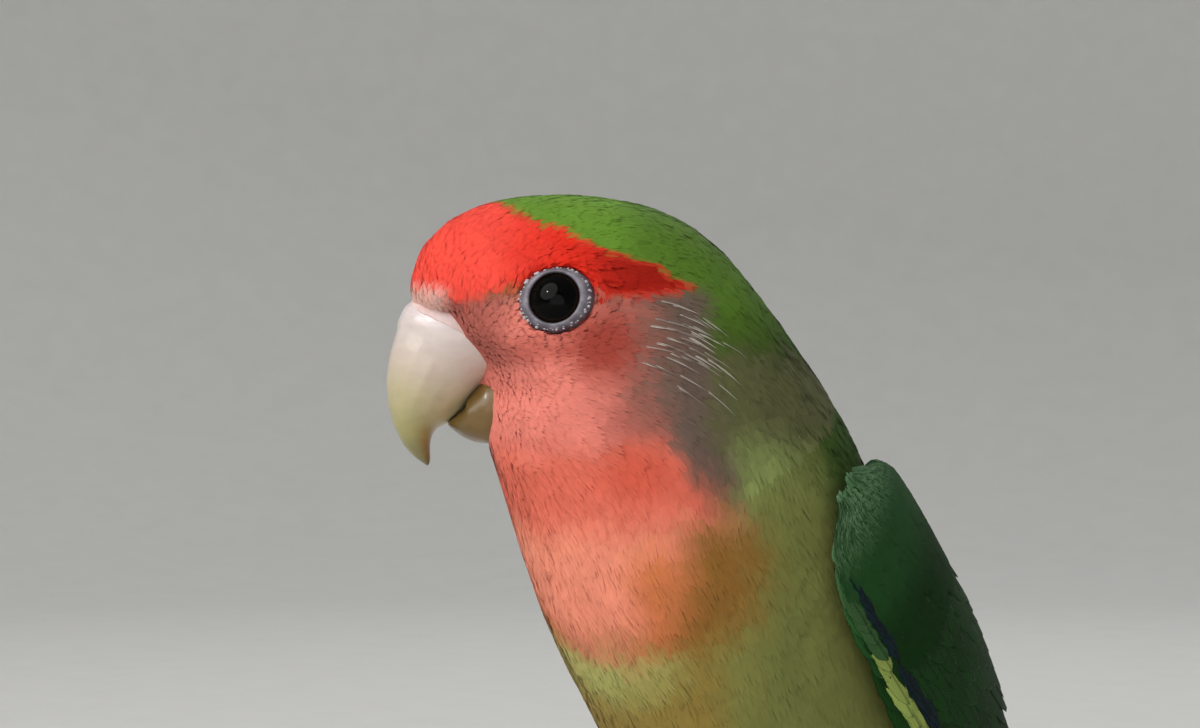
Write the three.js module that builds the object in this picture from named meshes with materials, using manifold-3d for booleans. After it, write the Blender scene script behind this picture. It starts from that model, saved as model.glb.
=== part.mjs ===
// A peach-faced lovebird standing on the floor, life size, as a still display model.
// Millimetres, +Z up. The torso faces -Y, its left side towards +X. The head is turned to the bird's right.

import * as THREE from "three";
import { mergeVertices } from "three/addons/utils/BufferGeometryUtils.js";
import Module from "manifold-3d";

const wasm = await Module();
wasm.setup();

// Driving sizes
const STANDING_HEIGHT = 130; // floor to crown
const HEAD_TURN = 45; // degrees between the head's heading and the torso's
const TORSO_RISE = 58; // degrees between the torso's long axis and the floor
const HEAD_DROP = 12.8; // crown down to the head's own origin
const HEAD_PLACE = [-7.8, -17]; // X and Y of the head's origin
const EYEBALL = 3.9; // radius
const WING_START = -9; // along the wing's axis, from the carpal bend
const WING_LENGTH = 104; // carpal bend to the tip of the folded wing
const TAIL_LENGTH = 50; // root to tip
const FOOT_APART = 12.5; // from the middle to each foot
const GAP = 0.3; // left between pieces that meet

const radians = THREE.MathUtils.degToRad;
const vec = (x, y, z) => new THREE.Vector3(x, y, z);
const lerp = THREE.MathUtils.lerp;
const list = (count, make) => Array.from({ length: count }, (_, i) => make(i));
const shares = (count) => list(count, (i) => i / (count - 1));

const HEAD_ORIGIN = vec(HEAD_PLACE[0], HEAD_PLACE[1], STANDING_HEIGHT - HEAD_DROP);

// The forward, left and up directions of something that heads this way and noses up by rise, in degrees.
function directions(heading, rise = 0) {
  const turn = radians(heading);
  const lift = radians(rise);
  const forward = vec(-Math.sin(turn) * Math.cos(lift), -Math.cos(turn) * Math.cos(lift), Math.sin(lift));
  const left = vec(Math.cos(turn), -Math.sin(turn), 0);
  return { forward, left, up: forward.clone().cross(left) };
}

const HEAD_WAY = directions(HEAD_TURN);

// A point given forward, up and left of the head's origin.
function inHead(forward, up, left = 0) {
  return HEAD_ORIGIN.clone()
    .addScaledVector(HEAD_WAY.forward, forward)
    .addScaledVector(HEAD_WAY.up, up)
    .addScaledVector(HEAD_WAY.left, left);
}

// A smooth line through values given at stations, as a function of the place between them.
function smoothly(stations) {
  const at = stations.map((s) => s[0]);
  const values = stations.flatMap((s) => s.slice(1));
  const line = new THREE.CubicInterpolant(at, values, values.length / at.length);
  return (place) => [...line.evaluate(THREE.MathUtils.clamp(place, at[0], at.at(-1)))];
}

// Rounded masses, each an ellipsoid with its half length, half depth and half width.
function mass(centre, long, deep, wide, heading, rise) {
  return { centre, radii: [long, deep, wide], way: directions(heading, rise) };
}

const headMass = (forward, up, long, deep, wide, rise = 0) =>
  mass(inHead(forward, up), long, deep, wide, HEAD_TURN, rise);
const bodyMass = (y, z, long, deep, wide, rise = TORSO_RISE) =>
  mass(vec(0, y, z), long, deep, wide, 0, rise);

const MASSES = [
  headMass(-0.6, 2.6, 16.6, 10.2, 11.8), // crown
  headMass(8.6, 2.3, 8.7, 7.4, 7.8), // forehead
  headMass(-3.5, -6.5, 13.4, 11, 12.6), // cheeks
  headMass(-12.3, -10.8, 14.4, 11.7, 12.8, 46), // nape
  mass(vec(-1.6, -9.2, 101), 23, 17.6, 16.8, HEAD_TURN / 2, 60), // neck
  bodyMass(-2.2, 88, 24, 20.9, 19), // breast and shoulders
  bodyMass(10.2, 66.5, 30, 20.2, 18.5), // belly and back
  bodyMass(16, 50, 19, 15.5, 17, 52), // lower belly
  bodyMass(27, 46.5, 21, 12.6, 13.5, 50), // rump
  bodyMass(40, 33.6, 16.5, 6, 7.6, 42), // root of the tail
];
const BLEND = 7; // how softly two masses run into each other

// Roughly the distance from a point to a mass, below zero inside it.
function distanceToMass(point, { centre, radii, way }) {
  const offset = point.clone().sub(centre);
  const along = [offset.dot(way.forward), offset.dot(way.up), offset.dot(way.left)];
  const near = Math.hypot(...along.map((a, i) => a / radii[i]));
  const slope = Math.hypot(...along.map((a, i) => a / radii[i] ** 2));
  return slope > 0 ? (near * (near - 1)) / slope : -Math.min(...radii);
}

// Roughly the distance to the plumage, below zero inside it, with every mass run softly into the next.
function distanceToPlumage(point) {
  return MASSES.map((m) => distanceToMass(point, m)).reduce((a, b) => {
    const share = Math.max(BLEND - Math.abs(a - b), 0) / BLEND;
    return Math.min(a, b) - (share * share * BLEND) / 4;
  });
}

const MARCH = 0.7; // step outward before the surface is closed in on
const FARTHEST = 60;
const HALVINGS = 14;

// How far a ray from inside goes before it leaves the plumage, or a surface that lies this much outside it.
function reach(from, direction, outside = 0) {
  const at = (r) => distanceToPlumage(from.clone().addScaledVector(direction, r)) - outside;
  let far = MARCH;
  while (at(far) < 0 && far < FARTHEST) far += MARCH;
  let near = far - MARCH;
  for (let i = 0; i < HALVINGS; i++) {
    const middle = (near + far) / 2;
    if (at(middle) < 0) near = middle;
    else far = middle;
  }
  return (near + far) / 2;
}

// The line inside the plumage that the rings are set along, from the face to the tail's root.
const SPINE = new THREE.CatmullRomCurve3([
  inHead(6, -1),
  inHead(-2, -3),
  inHead(-9, -9),
  vec(-3, -7.5, 100),
  vec(0, 1, 87),
  vec(0, 12, 67),
  vec(0, 27, 47),
  vec(0, 41, 33),
]);

// How each ring across the spine heads and noses up, in degrees, at shares of the spine.
const POSTURE = [
  { at: 0, heading: HEAD_TURN, rise: 0 },
  { at: 0.12, heading: HEAD_TURN, rise: 10 },
  { at: 0.44, heading: 0, rise: 60 },
  { at: 0.75, heading: 0, rise: 57 },
  { at: 1, heading: 0, rise: 42 },
];

// The place and directions of the ring at a share of the spine.
function station(share) {
  const after = POSTURE.findIndex((p) => p.at >= share && p.at > 0);
  const [a, b] = [POSTURE[after - 1], POSTURE[after]];
  const part = (share - a.at) / (b.at - a.at);
  const way = directions(lerp(a.heading, b.heading, part), lerp(a.rise, b.rise, part));
  return { centre: SPINE.getPointAt(share), along: way.forward.negate(), left: way.left, up: way.up };
}

// One ring of points round the spine. A lean under 90 tips the ring towards the face or on towards the tail.
function ring(share, sides, outside, lean = 90, way = 1) {
  const { centre, along, left, up } = station(share);
  const tilt = radians(lean);
  return list(sides, (i) => {
    const turn = (i / sides) * 2 * Math.PI;
    const direction = left.clone().multiplyScalar(Math.cos(turn)).addScaledVector(up, Math.sin(turn));
    direction.multiplyScalar(Math.sin(tilt)).addScaledVector(along, way * Math.cos(tilt)).normalize();
    return centre.clone().addScaledVector(direction, reach(centre, direction, outside));
  });
}

// A closed solid from points and triangles, turned right side out.
function closed(points, triangles) {
  const volume = triangles.reduce(
    (sum, [a, b, c]) => sum + points[a].dot(points[b].clone().cross(points[c])),
    0,
  );
  const faces = volume < 0 ? triangles.map(([a, b, c]) => [a, c, b]) : triangles;
  return new wasm.Manifold(
    new wasm.Mesh({
      numProp: 3,
      vertProperties: new Float32Array(points.flatMap((p) => p.toArray())),
      triVerts: new Uint32Array(faces.flat()),
    }),
  );
}

// A closed solid through rings of equally many points, each end closed on a point of its own.
function loft(rings, first, last) {
  const sides = rings[0].length;
  const middleOf = (r) => r.reduce((sum, p) => sum.add(p), vec(0, 0, 0)).divideScalar(sides);
  const points = [...rings.flat(), first ?? middleOf(rings[0]), last ?? middleOf(rings.at(-1))];
  const start = points.length - 2;
  const triangles = [];
  for (let i = 0; i < sides; i++) {
    const next = (i + 1) % sides;
    const end = (rings.length - 1) * sides;
    triangles.push([start, next, i], [start + 1, end + i, end + next]);
    for (let r = 0; r + 1 < rings.length; r++) {
      const [a, b] = [r * sides, (r + 1) * sides];
      triangles.push([a + i, a + next, b + next], [a + i, b + next, b + i]);
    }
  }
  return closed(points, triangles);
}

// A three.js geometry as a solid.
function solidOf(geometry) {
  const bare = geometry.clone();
  bare.deleteAttribute("normal");
  bare.deleteAttribute("uv");
  const merged = mergeVertices(bare, 1e-4);
  const at = merged.attributes.position;
  const points = list(at.count, (i) => vec().fromBufferAttribute(at, i));
  const index = merged.index.array;
  const triangles = list(index.length / 3, (i) => [...index.slice(3 * i, 3 * i + 3)]);
  return closed(points, triangles);
}

// The largest closed surface of a solid.
function largest(solid) {
  return solid.decompose().reduce((a, b) => (a.volume() > b.volume() ? a : b));
}

const without = (solid, ...cutters) =>
  largest(cutters.reduce((left, cutter) => left.subtract(cutter), solid));

const DOME = [18, 36, 54, 72]; // lean of the rings of a domed end, in degrees

// The plumage from face to tail root, or a surface that lies this much outside it.
function plumage(rings, sides, outside = 0) {
  const domed = (share, way) => DOME.map((lean) => ring(share, sides, outside, lean, way));
  const tip = (share, way) => ring(share, 1, outside, 0, way)[0];
  const around = shares(rings).map((share) => ring(share, sides, outside));
  return loft([...domed(0, -1), ...around, ...domed(1, 1).reverse()], tip(0, -1), tip(1, 1));
}

const CUTTER = 90; // side of the thin slab that parts the body

// A slab as thick as the gap, across the spine.
function slab(share) {
  const { centre, along, left, up } = station(share);
  const place = new THREE.Matrix4().makeBasis(left, up, along).setPosition(centre);
  return solidOf(new THREE.BoxGeometry(CUTTER, CUTTER, GAP).applyMatrix4(place));
}

const PART_NAMES = ["head", "neck", "torso", "rump"];
const PARTED_AT = [0.3, 0.43, 0.82]; // shares of the spine

const BODY_RINGS = 28;
const BODY_SIDES = 34;

// The plumage parted by thin cuts, from the head down.
function bodyParts() {
  const whole = plumage(BODY_RINGS, BODY_SIDES);
  const pieces = PARTED_AT.reduce((body, share) => body.subtract(slab(share)), whole).decompose();
  const height = (solid) => solid.boundingBox().max[2];
  pieces.sort((a, b) => height(b) - height(a));
  return Object.fromEntries(PART_NAMES.map((name, i) => [name, pieces[i]]));
}

// What other pieces are cut by where they meet the plumage, and a coarser one for the long wings. Each stands
// a little further off than the gap, as its flat faces cut the curve short.
const CLEAR_OF_BODY = plumage(24, 30, GAP + 0.12);
const CLEAR_OF_BACK = plumage(17, 20, GAP + 0.35);

// Bill: the upper half hangs as a hook over the lower one. Places are forward and up of the head's origin.
const UPPER_BILL = {
  top: [[12.5, 4.2], [18, 0.9], [20.1, -3.4], [20.9, -7.8], [20.3, -12.2], [18.6, -15.5], [16.8, -17]],
  edge: [[5.5, -5], [9.8, -7.6], [12.3, -11.1], [14.2, -12.6], [15.5, -13.1], [16.2, -14.7], [16.1, -16.8]],
  half: [5.3, 5.6, 5.4, 4.7, 3.6, 2.2, 0.7],
  tip: [16.3, -17.5],
};
const LOWER_BILL = {
  top: [[6, -7.2], [9.8, -8.2], [12, -10.6], [14, -12.1]],
  edge: [[6, -14.2], [9.6, -14.9], [12.2, -14.2], [13.9, -12.9]],
  half: [4.3, 4.3, 3.7, 2],
  tip: [14.5, -12.5],
};
const BILL_SIDES = 16;
const UPPER_RINGS = 11;
const LOWER_RINGS = 7;

// Half of the bill, or a surface that lies this much outside it.
function bill({ top, edge, half, tip }, rings, outside = 0) {
  const curve = (places) => new THREE.CatmullRomCurve3(places.map(([f, u]) => inHead(f, u)));
  const [over, under] = [curve(top), curve(edge)];
  const width = smoothly(half.map((w, i) => [i / (half.length - 1), w]));
  const around = shares(rings).map((share) => {
    const [high, low] = [over.getPoint(share), under.getPoint(share)];
    const middle = high.clone().lerp(low, 0.5);
    const rise = high.clone().sub(low).divideScalar(2);
    rise.setLength(rise.length() + outside);
    return list(BILL_SIDES, (i) => {
      const turn = (i / BILL_SIDES) * 2 * Math.PI;
      return middle
        .clone()
        .addScaledVector(rise, Math.cos(turn))
        .addScaledVector(HEAD_WAY.left, Math.sin(turn) * (width(share)[0] + outside));
    });
  });
  const drop = inHead(...tip).sub(under.getPoint(1)).setLength(outside);
  return loft(around, undefined, inHead(...tip).add(drop));
}

// The cere ends at a line across the bill's root, and carries the nostrils.
const CERE_LINE = { front: [19.5, -1.8], back: [11.5, -2.4] };
const CERE_RAISED = 0.4;
const NOSTRIL = { forward: 15.5, up: 0.1, apart: 4.9, radius: 0.8 };

function cereSide() {
  const [front, back] = [inHead(...CERE_LINE.front), inHead(...CERE_LINE.back)];
  const normal = front.clone().sub(back).cross(HEAD_WAY.left).normalize();
  if (normal.z < 0) normal.negate();
  return { normal, offset: normal.dot(front) };
}

function billParts() {
  const { normal, offset } = cereSide();
  const below = normal.clone().negate();
  const upper = bill(UPPER_BILL, UPPER_RINGS).trimByPlane(below.toArray(), GAP / 2 - offset);
  const raised = bill(UPPER_BILL, UPPER_RINGS, CERE_RAISED).trimByPlane(normal.toArray(), GAP / 2 + offset);
  const nostrils = [1, -1].map((side) => {
    const { x, y, z } = inHead(NOSTRIL.forward, NOSTRIL.up, side * NOSTRIL.apart);
    return solidOf(new THREE.SphereGeometry(NOSTRIL.radius, 8, 6).translate(x, y, z));
  });
  return {
    upper_bill: without(upper, CLEAR_OF_BODY),
    lower_bill: without(bill(LOWER_BILL, LOWER_RINGS), CLEAR_OF_BODY, bill(UPPER_BILL, UPPER_RINGS, GAP)),
    cere: without(raised, CLEAR_OF_BODY, ...nostrils),
  };
}

// Eyes and lids
const EYE_PLACE = { forward: 1.9, up: 1 };
const EYE_SUNK = 2.7; // eyeball's middle below the plumage
const EYE_CLEAR = 0.35; // between the eyeball and the hollow it lies in
const LID_SIDES = 20;

// Sections turned about the eye's axis: out from it, and outward along it
const LID_SECTION = [
  [3.75, 1.89], [3.45, 2.39], [3.1, 2.84], [3.35, 3.2], [3.85, 3.05], [4.35, 2.35], [4.35, 1.85],
  [3.75, 1.89],
];
const SOCKET_SECTION = [[0, 1.55], [4.68, 1.55], [4.68, 9], [0, 9]];
const LID_SQUASH = { from: 3.4, to: 4.3, height: 0.9 }; // radii it sets in between, and a share of the width

// The direction straight out of the plumage at a point on it.
function outwardAt(point) {
  const near = (axis, way) => distanceToPlumage(point.clone().addScaledVector(axis, way));
  const slope = (axis) => near(axis, 0.5) - near(axis, -0.5);
  return vec(slope(vec(1, 0, 0)), slope(vec(0, 1, 0)), slope(vec(0, 0, 1))).normalize();
}

// Stands a turned shape up at an eye, its own +Y pointing out of the head.
function atEye(geometry, side) {
  const left = HEAD_WAY.left.clone().multiplyScalar(side);
  const middle = inHead(EYE_PLACE.forward, EYE_PLACE.up);
  middle.addScaledVector(left, reach(middle, left));
  const outward = outwardAt(middle);
  const ahead = HEAD_WAY.forward.clone().projectOnPlane(outward).normalize();
  const place = new THREE.Matrix4().makeBasis(ahead, outward, ahead.clone().cross(outward));
  return solidOf(geometry.applyMatrix4(place.setPosition(middle.addScaledVector(outward, -EYE_SUNK))));
}

// A section turned about the eye's axis, with its outer rim lowered so that it is wider than high.
function turnedRound(section) {
  const outline = section.map(([out, along]) => new THREE.Vector2(out, along));
  const geometry = new THREE.LatheGeometry(outline, LID_SIDES);
  const at = geometry.attributes.position;
  for (let i = 0; i < at.count; i++) {
    const out = Math.hypot(at.getX(i), at.getZ(i));
    const share = THREE.MathUtils.smoothstep(out, LID_SQUASH.from, LID_SQUASH.to);
    at.setZ(i, at.getZ(i) * lerp(1, LID_SQUASH.height, share));
  }
  return geometry;
}

function eyeParts(side) {
  const round = (radius) => atEye(new THREE.SphereGeometry(radius, 15, 10), side);
  return {
    eye: round(EYEBALL),
    lids: atEye(turnedRound(LID_SECTION), side),
    socket: round(EYEBALL + EYE_CLEAR).add(atEye(turnedRound(SOCKET_SECTION), side)),
  };
}

// Wings: a sleeve round an axis that runs down the back, given by its half width and height over the axis.
const WING_SLOPE = 52; // degrees between the axis and the floor
const WING_AXIS = vec(0, 0, 88);
const WING_WAY = directions(0, WING_SLOPE);
const WING_SLEEVE = smoothly([
  [-12, 16.5, 19.5], [0, 21.6, 22.2], [20, 22.2, 22.6], [40, 20, 19.6], [60, 15.2, 13], [80, 9.8, 9.4],
  [96, 7, 8.2],
]);
const WING_COVER = 1.5; // least height over the plumage
const SOFTEN = 2; // how softly the sleeve meets that height

// The sleeve's distance from the axis, this far along it and at an angle up from the side.
function sleeve(along, angle, side) {
  const centre = WING_AXIS.clone().addScaledVector(WING_WAY.forward, -along);
  const direction = WING_WAY.left.clone().multiplyScalar(side * Math.cos(angle));
  direction.addScaledVector(WING_WAY.up, Math.sin(angle));
  const [half, high] = WING_SLEEVE(along);
  const plain = 1 / Math.hypot(Math.cos(angle) / half, Math.sin(angle) / high);
  const over = reach(centre, direction) + WING_COVER;
  const share = Math.max(SOFTEN - Math.abs(plain - over), 0) / SOFTEN;
  return { centre, direction, radius: Math.max(plain, over) + (share * share * SOFTEN) / 4 };
}

// A point on a wing, raised this much over the sleeve and kept to its own side of the back.
function onWing(along, angle, raised, side) {
  const { centre, direction, radius } = sleeve(along, angle, side);
  const point = centre.addScaledVector(direction, radius + raised);
  point.x = side * Math.max(side * point.x, GAP);
  return point;
}

// Angles up from the side, in degrees, of the folded wing's lower and upper edge.
const WING_EDGES = smoothly([
  [-9, 6, 20], [-6, -7, 36], [0, -13, 52], [10, -14, 66], [20, -14, 74], [35, -11, 84], [50, -6, 89],
  [65, 3, 90], [80, 19, 90], [95, 50, 88],
]);
const WING_DEEP = 6; // how far the wing's inner side reaches in before the plumage is cut from it
const WING_THIN = 0.8; // thickness of the bed past the body
const THINNED = [38, 66]; // where the deep bed runs out into the thin one
const BED_SUNK = 0.5; // the bed under the feathers below the sleeve
const BED_CROWN = 0.5; // how far the bed's edges fall away
const BED_END = 84;
const BED_TOP = smoothly([[-9, 1], [48, 1], [62, 0.86], [84, 0.5]]); // upper edge, as a share of the wing's
const BED_RINGS = 12;
const BED_OUTER = 8; // points across the outer side
const BED_INNER = 3;

// The flesh of the wing and the hidden inner feathers, as one bed that the others lie on.
function wingBed(side) {
  const rings = shares(BED_RINGS).map((share) => {
    const along = lerp(WING_START, BED_END, share);
    const [low, full] = WING_EDGES(along).map(radians);
    const high = lerp(low, full, BED_TOP(along)[0]);
    const deep = lerp(WING_DEEP, WING_THIN, THREE.MathUtils.smoothstep(along, ...THINNED)) + BED_SUNK;
    const rounded = (s) => -BED_SUNK - BED_CROWN * (2 * s - 1) ** 6;
    const outer = shares(BED_OUTER).map((s) => onWing(along, lerp(low, high, s), rounded(s), side));
    const inner = shares(BED_INNER).map((s) => onWing(along, lerp(high, low, s), -deep, side));
    return [...outer, ...inner];
  });
  return loft(rings);
}

// A feather's outline: half its width at shares of its length, as a share of the widest.
const LONG_VANE = [[0, 0.6], [0.4, 1], [0.84, 0.82], [1, 0.26]];
const SHORT_VANE = [[0, 0.7], [0.5, 1], [0.82, 0.8], [1, 0.28]];

// A thin closed plate through stations, each with two edges and the step down to its underside.
function plate(stations) {
  const corners = ({ edges: [a, b], down }) => [a, b, b.clone().add(down), a.clone().add(down)];
  const points = stations.flatMap(corners);
  const triangles = [];
  for (let a = 0; a + 4 < points.length; a += 4) {
    const b = a + 4;
    triangles.push([a, a + 1, b + 1], [a, b + 1, b]);
    triangles.push([a + 3, b + 2, a + 2], [a + 3, b + 3, b + 2]);
    triangles.push([a + 1, a + 2, b + 2], [a + 1, b + 2, b + 1]);
    triangles.push([a, b, b + 3], [a, b + 3, a + 3]);
  }
  const end = points.length - 4;
  triangles.push([0, 3, 2], [0, 2, 1], [end, end + 1, end + 2], [end, end + 2, end + 3]);
  return closed(points, triangles);
}

// Feathers of the folded wing, tier by tier. Roots and tips run from the lowest feather to the highest, each
// given along the axis and as a share of the way from the wing's lower edge to its upper one.
const WING_TIERS = [
  { count: 6, roots: [[22, 0.07], [26, 0.3]], tips: [[95, 0.42], [73, 0.4]], half: 3, outline: LONG_VANE },
  { count: 4, roots: [[24, 0.38], [26, 0.64]], tips: [[69, 0.5], [62, 0.76]], half: 3.5, outline: LONG_VANE },
  { count: 3, roots: [[22, 0.7], [16, 0.88]], tips: [[60, 0.84], [48, 0.9]], half: 3.3, outline: LONG_VANE },
  { count: 3, roots: [[10, 0.06], [11, 0.24]], tips: [[40, 0.08], [35, 0.28]], half: 3.2, outline: SHORT_VANE },
  { count: 5, roots: [[9, 0.38], [8, 0.86]], tips: [[31, 0.4], [27, 0.88]], half: 3.9, outline: SHORT_VANE },
  { count: 5, roots: [[0, 0.1], [0, 0.82]], tips: [[18, 0.08], [17, 0.86]], half: 3.9, outline: SHORT_VANE },
  { count: 4, roots: [[-6, 0.2], [-6, 0.78]], tips: [[9, 0.1], [8, 0.82]], half: 3.7, outline: SHORT_VANE },
];
const VANE_THICK = 0.6;
const VANE_SUNK = 1; // top of a root below the sleeve
const VANE_LIFT = 0.25; // top of a tip over the sleeve
const VANE_TILT = 0.26; // each feather's lower edge is up by this, and its upper edge tucked down
const TIP_STAGGER = { most: 0.7, turn: 2.4 }; // tips lie a little before or behind their row's line
const SWEEP = 1.8; // feathers keep along the lower edge and turn up towards their tips

function wingVane({ root, tip, half, outline }, side) {
  const stations = outline.map(([share, width]) => {
    const along = lerp(root[0], tip[0], share);
    const [low, high] = WING_EDGES(along).map(radians);
    const angle = lerp(low, high, lerp(root[1], tip[1], share ** SWEEP));
    const { direction, radius } = sleeve(along, angle, side);
    const raised = lerp(-VANE_SUNK, VANE_LIFT, share);
    const spread = (half * width) / radius;
    const edges = [-1, 1].map((way) => onWing(along, angle + way * spread, raised - way * VANE_TILT, side));
    return { edges, down: direction.multiplyScalar(-VANE_THICK) };
  });
  return plate(stations);
}

function wing(side) {
  const vanes = WING_TIERS.flatMap(({ count, roots, tips, ...rest }) =>
    list(count, (i) => {
      const between = ([a, b]) => a.map((value, k) => lerp(value, b[k], i / (count - 1)));
      const tip = between(tips);
      tip[0] += TIP_STAGGER.most * Math.sin(TIP_STAGGER.turn * i);
      return wingVane({ root: between(roots), tip, ...rest }, side);
    }),
  );
  return without(vanes.reduce((all, vane) => all.add(vane), wingBed(side)), CLEAR_OF_BACK);
}

// Tail: a fan that slopes down to the floor.
const TAIL_ROOT = vec(0, 39, 32.9);
const TAIL_SLOPE = 41.5; // degrees
const TAIL_WAY = directions(0, TAIL_SLOPE);
const TAIL_BED = smoothly([[0, 5, 2.4], [12, 5.5, 1.6], [24, 4, 0.7]]); // half width and half thickness
const TAIL_BED_LENGTH = 24;
const TAIL_BED_DROP = 0.4; // the bed's middle under the tail feathers' line
const TAIL_BED_RINGS = 6;
const TAIL_BED_SIDES = 12;

const inTail = (along, across, raised) =>
  TAIL_ROOT.clone()
    .addScaledVector(TAIL_WAY.forward, -along)
    .addScaledVector(TAIL_WAY.left, across)
    .addScaledVector(TAIL_WAY.up, raised);

// Tail feathers and their coverts, from side to side. Tops fall away from the middle pair to the sides, and a
// covert sinks in to the tail feathers towards its tip.
const TAIL_TIERS = [
  {
    count: 12, half: 3.3, length: TAIL_LENGTH, shorter: 9, apart: [0.8, 1.4],
    top: 0.9, fall: 0.42, sinks: 0, outline: LONG_VANE,
  },
  {
    count: 5, half: 3, length: 31, shorter: 7, apart: [1.7, 2.7],
    top: 3.4, fall: 0.34, sinks: 2.3, outline: SHORT_VANE,
  },
  {
    count: 5, half: 2.8, length: 32, shorter: 6, apart: [1.6, 2.2],
    top: -2.9, fall: -0.3, sinks: -2.3, outline: SHORT_VANE,
  },
];

function tailVanes({ count, half, length, shorter, apart, top, fall, sinks, outline }) {
  return list(count, (i) => {
    const place = i - (count - 1) / 2;
    const off = Math.abs(place) / ((count - 1) / 2);
    const stations = outline.map(([share, width]) => {
      const across = place * lerp(apart[0], apart[1], share);
      const along = share * (length - shorter * off * off);
      const raised = top - fall * Math.abs(place) - sinks * share;
      const edges = [-1, 1].map((way) => inTail(along, across + way * half * width, raised));
      return { edges, down: TAIL_WAY.up.clone().multiplyScalar(-VANE_THICK) };
    });
    return plate(stations);
  });
}

function tail() {
  const rings = shares(TAIL_BED_RINGS).map((share) => {
    const along = share * TAIL_BED_LENGTH;
    const [half, thick] = TAIL_BED(along);
    return list(TAIL_BED_SIDES, (i) => {
      const turn = (i / TAIL_BED_SIDES) * 2 * Math.PI;
      return inTail(along, half * Math.cos(turn), thick * Math.sin(turn) - TAIL_BED_DROP);
    });
  });
  const vanes = TAIL_TIERS.flatMap(tailVanes);
  return without(vanes.reduce((all, vane) => all.add(vane), loft(rings)), CLEAR_OF_BODY, BELOW_FLOOR);
}

const LIMB_END = 0.6; // how far an end's point stands out, as a share of the radius there

// A round limb along a path, with its radius at even shares, or a surface that lies this much outside it.
function limb(path, radii, { rings = 7, sides = 8, outside = 0, side = vec(1, 0, 0) } = {}) {
  const line = new THREE.CatmullRomCurve3(path);
  const radius = smoothly(radii.map((r, i) => [i / (radii.length - 1), r]));
  const end = (share, way) =>
    line.getPointAt(share).addScaledVector(
      line.getTangentAt(share),
      way * (LIMB_END * radius(share)[0] + outside),
    );
  const around = shares(rings).map((share) => {
    const along = line.getTangentAt(share);
    const across = side.clone().addScaledVector(along, -side.dot(along)).normalize();
    const over = along.clone().cross(across);
    return list(sides, (i) => {
      const turn = (i / sides) * 2 * Math.PI;
      return line
        .getPointAt(share)
        .addScaledVector(across, Math.cos(turn) * (radius(share)[0] + outside))
        .addScaledVector(over, Math.sin(turn) * (radius(share)[0] + outside));
    });
  });
  return loft(around, end(0, -1), end(1, 1));
}

// Legs: hidden knee, ankle and foot, for the left side
const HIP = vec(FOOT_APART - 4, 7.5, 46);
const SHIN = vec(FOOT_APART - 0.5, 12.5, 33);
const ANKLE = vec(FOOT_APART, 18.6, 19.5);
const FOOT = vec(FOOT_APART, 9.5, 2.6);
const FOOT_HALVES = [3.7, 3.4, 2.8];
const THIGH_RADII = [5.6, 6.8, 5.8, 3.5, 2.1];
const SHANK_PATH = [ANKLE, vec(FOOT.x, 15.6, 13.4), vec(FOOT.x, 12.2, 7.8), FOOT];
const SHANK_RADII = [2.1, 1.6, 1.5, 1.7];

// Toes, counted from the short inner hind one: heading out from forward, length, radius and place on the foot
const TOES = [
  { heading: 205, length: 8, radius: 1.35, from: [-1.9, 1.8] },
  { heading: -14, length: 10, radius: 1.4, from: [-1.9, -1.8] },
  { heading: 10, length: 14, radius: 1.5, from: [1.9, -1.8] },
  { heading: 152, length: 12.5, radius: 1.45, from: [1.9, 1.8] },
];
const TOE_SUNK = 0.15; // how much of a toe's underside is flattened on the floor
const TOE_RISE = 0.6; // of its root, into the foot
const TOE_RADII = [1.1, 0.92, 1.04, 0.88, 0.98, 0.8]; // pads and joints, as shares of its radius
const CLAW_LENGTH = 4.4;
const CLAW_PATH = [[-0.18, 0], [0.3, 0.35], [0.7, 0.15], [1, -0.45]]; // shares of its length past the toe, rise
const CLAW_RADII = [0.9, 0.85, 0.6, 0.14];

function ball(outside = 0) {
  const [x, y, z] = FOOT_HALVES.map((half) => half + outside);
  return solidOf(new THREE.SphereGeometry(1, 12, 8).scale(x, y, z).translate(FOOT.x, FOOT.y, FOOT.z));
}

// The path of one toe at a share of its length, or past its end.
function toePoint({ heading, length, radius, from }, share, raised = 0) {
  const way = directions(-heading).forward;
  return vec(FOOT.x + from[0], FOOT.y + from[1], 0)
    .addScaledVector(way, share * length)
    .add(vec(0, 0, radius * lerp(1, 0.8, Math.min(share, 1)) - TOE_SUNK + raised));
}

function toe(spec, outside = 0) {
  const path = shares(4).map((share) => toePoint(spec, share, share === 0 ? TOE_RISE : 0));
  const radii = TOE_RADII.map((share) => share * spec.radius);
  return limb(path, radii, { rings: 8, sides: 7, outside, side: vec(0, 0, 1) });
}

function claw(spec) {
  const path = CLAW_PATH.map(([past, rise]) => toePoint(spec, 1 + (past * CLAW_LENGTH) / spec.length, rise));
  return limb(path, CLAW_RADII, { rings: 6, sides: 6, side: vec(0, 0, 1) });
}

const FLOOR_CUT = 300; // side of the block under the floor
const BELOW_FLOOR = solidOf(
  new THREE.BoxGeometry(FLOOR_CUT, FLOOR_CUT, FLOOR_CUT).translate(0, 0, -FLOOR_CUT / 2),
);

// Both feet come from the left one, mirrored for the right.
function legParts() {
  const thigh = (outside) => limb([HIP, SHIN, ANKLE], THIGH_RADII, { rings: 8, sides: 14, outside });
  const shank = (outside) => limb(SHANK_PATH, SHANK_RADII, { outside });
  const parts = {
    thigh: without(thigh(0), CLEAR_OF_BODY),
    shank: without(shank(0), thigh(GAP), ball(GAP)),
    foot: without(ball(), BELOW_FLOOR),
  };
  TOES.forEach((spec, i) => {
    parts[`toe_${i + 1}`] = without(toe(spec), ball(GAP), shank(GAP), BELOW_FLOOR);
    parts[`claw_${i + 1}`] = without(claw(spec), toe(spec, GAP), BELOW_FLOOR);
  });
  return parts;
}

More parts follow.
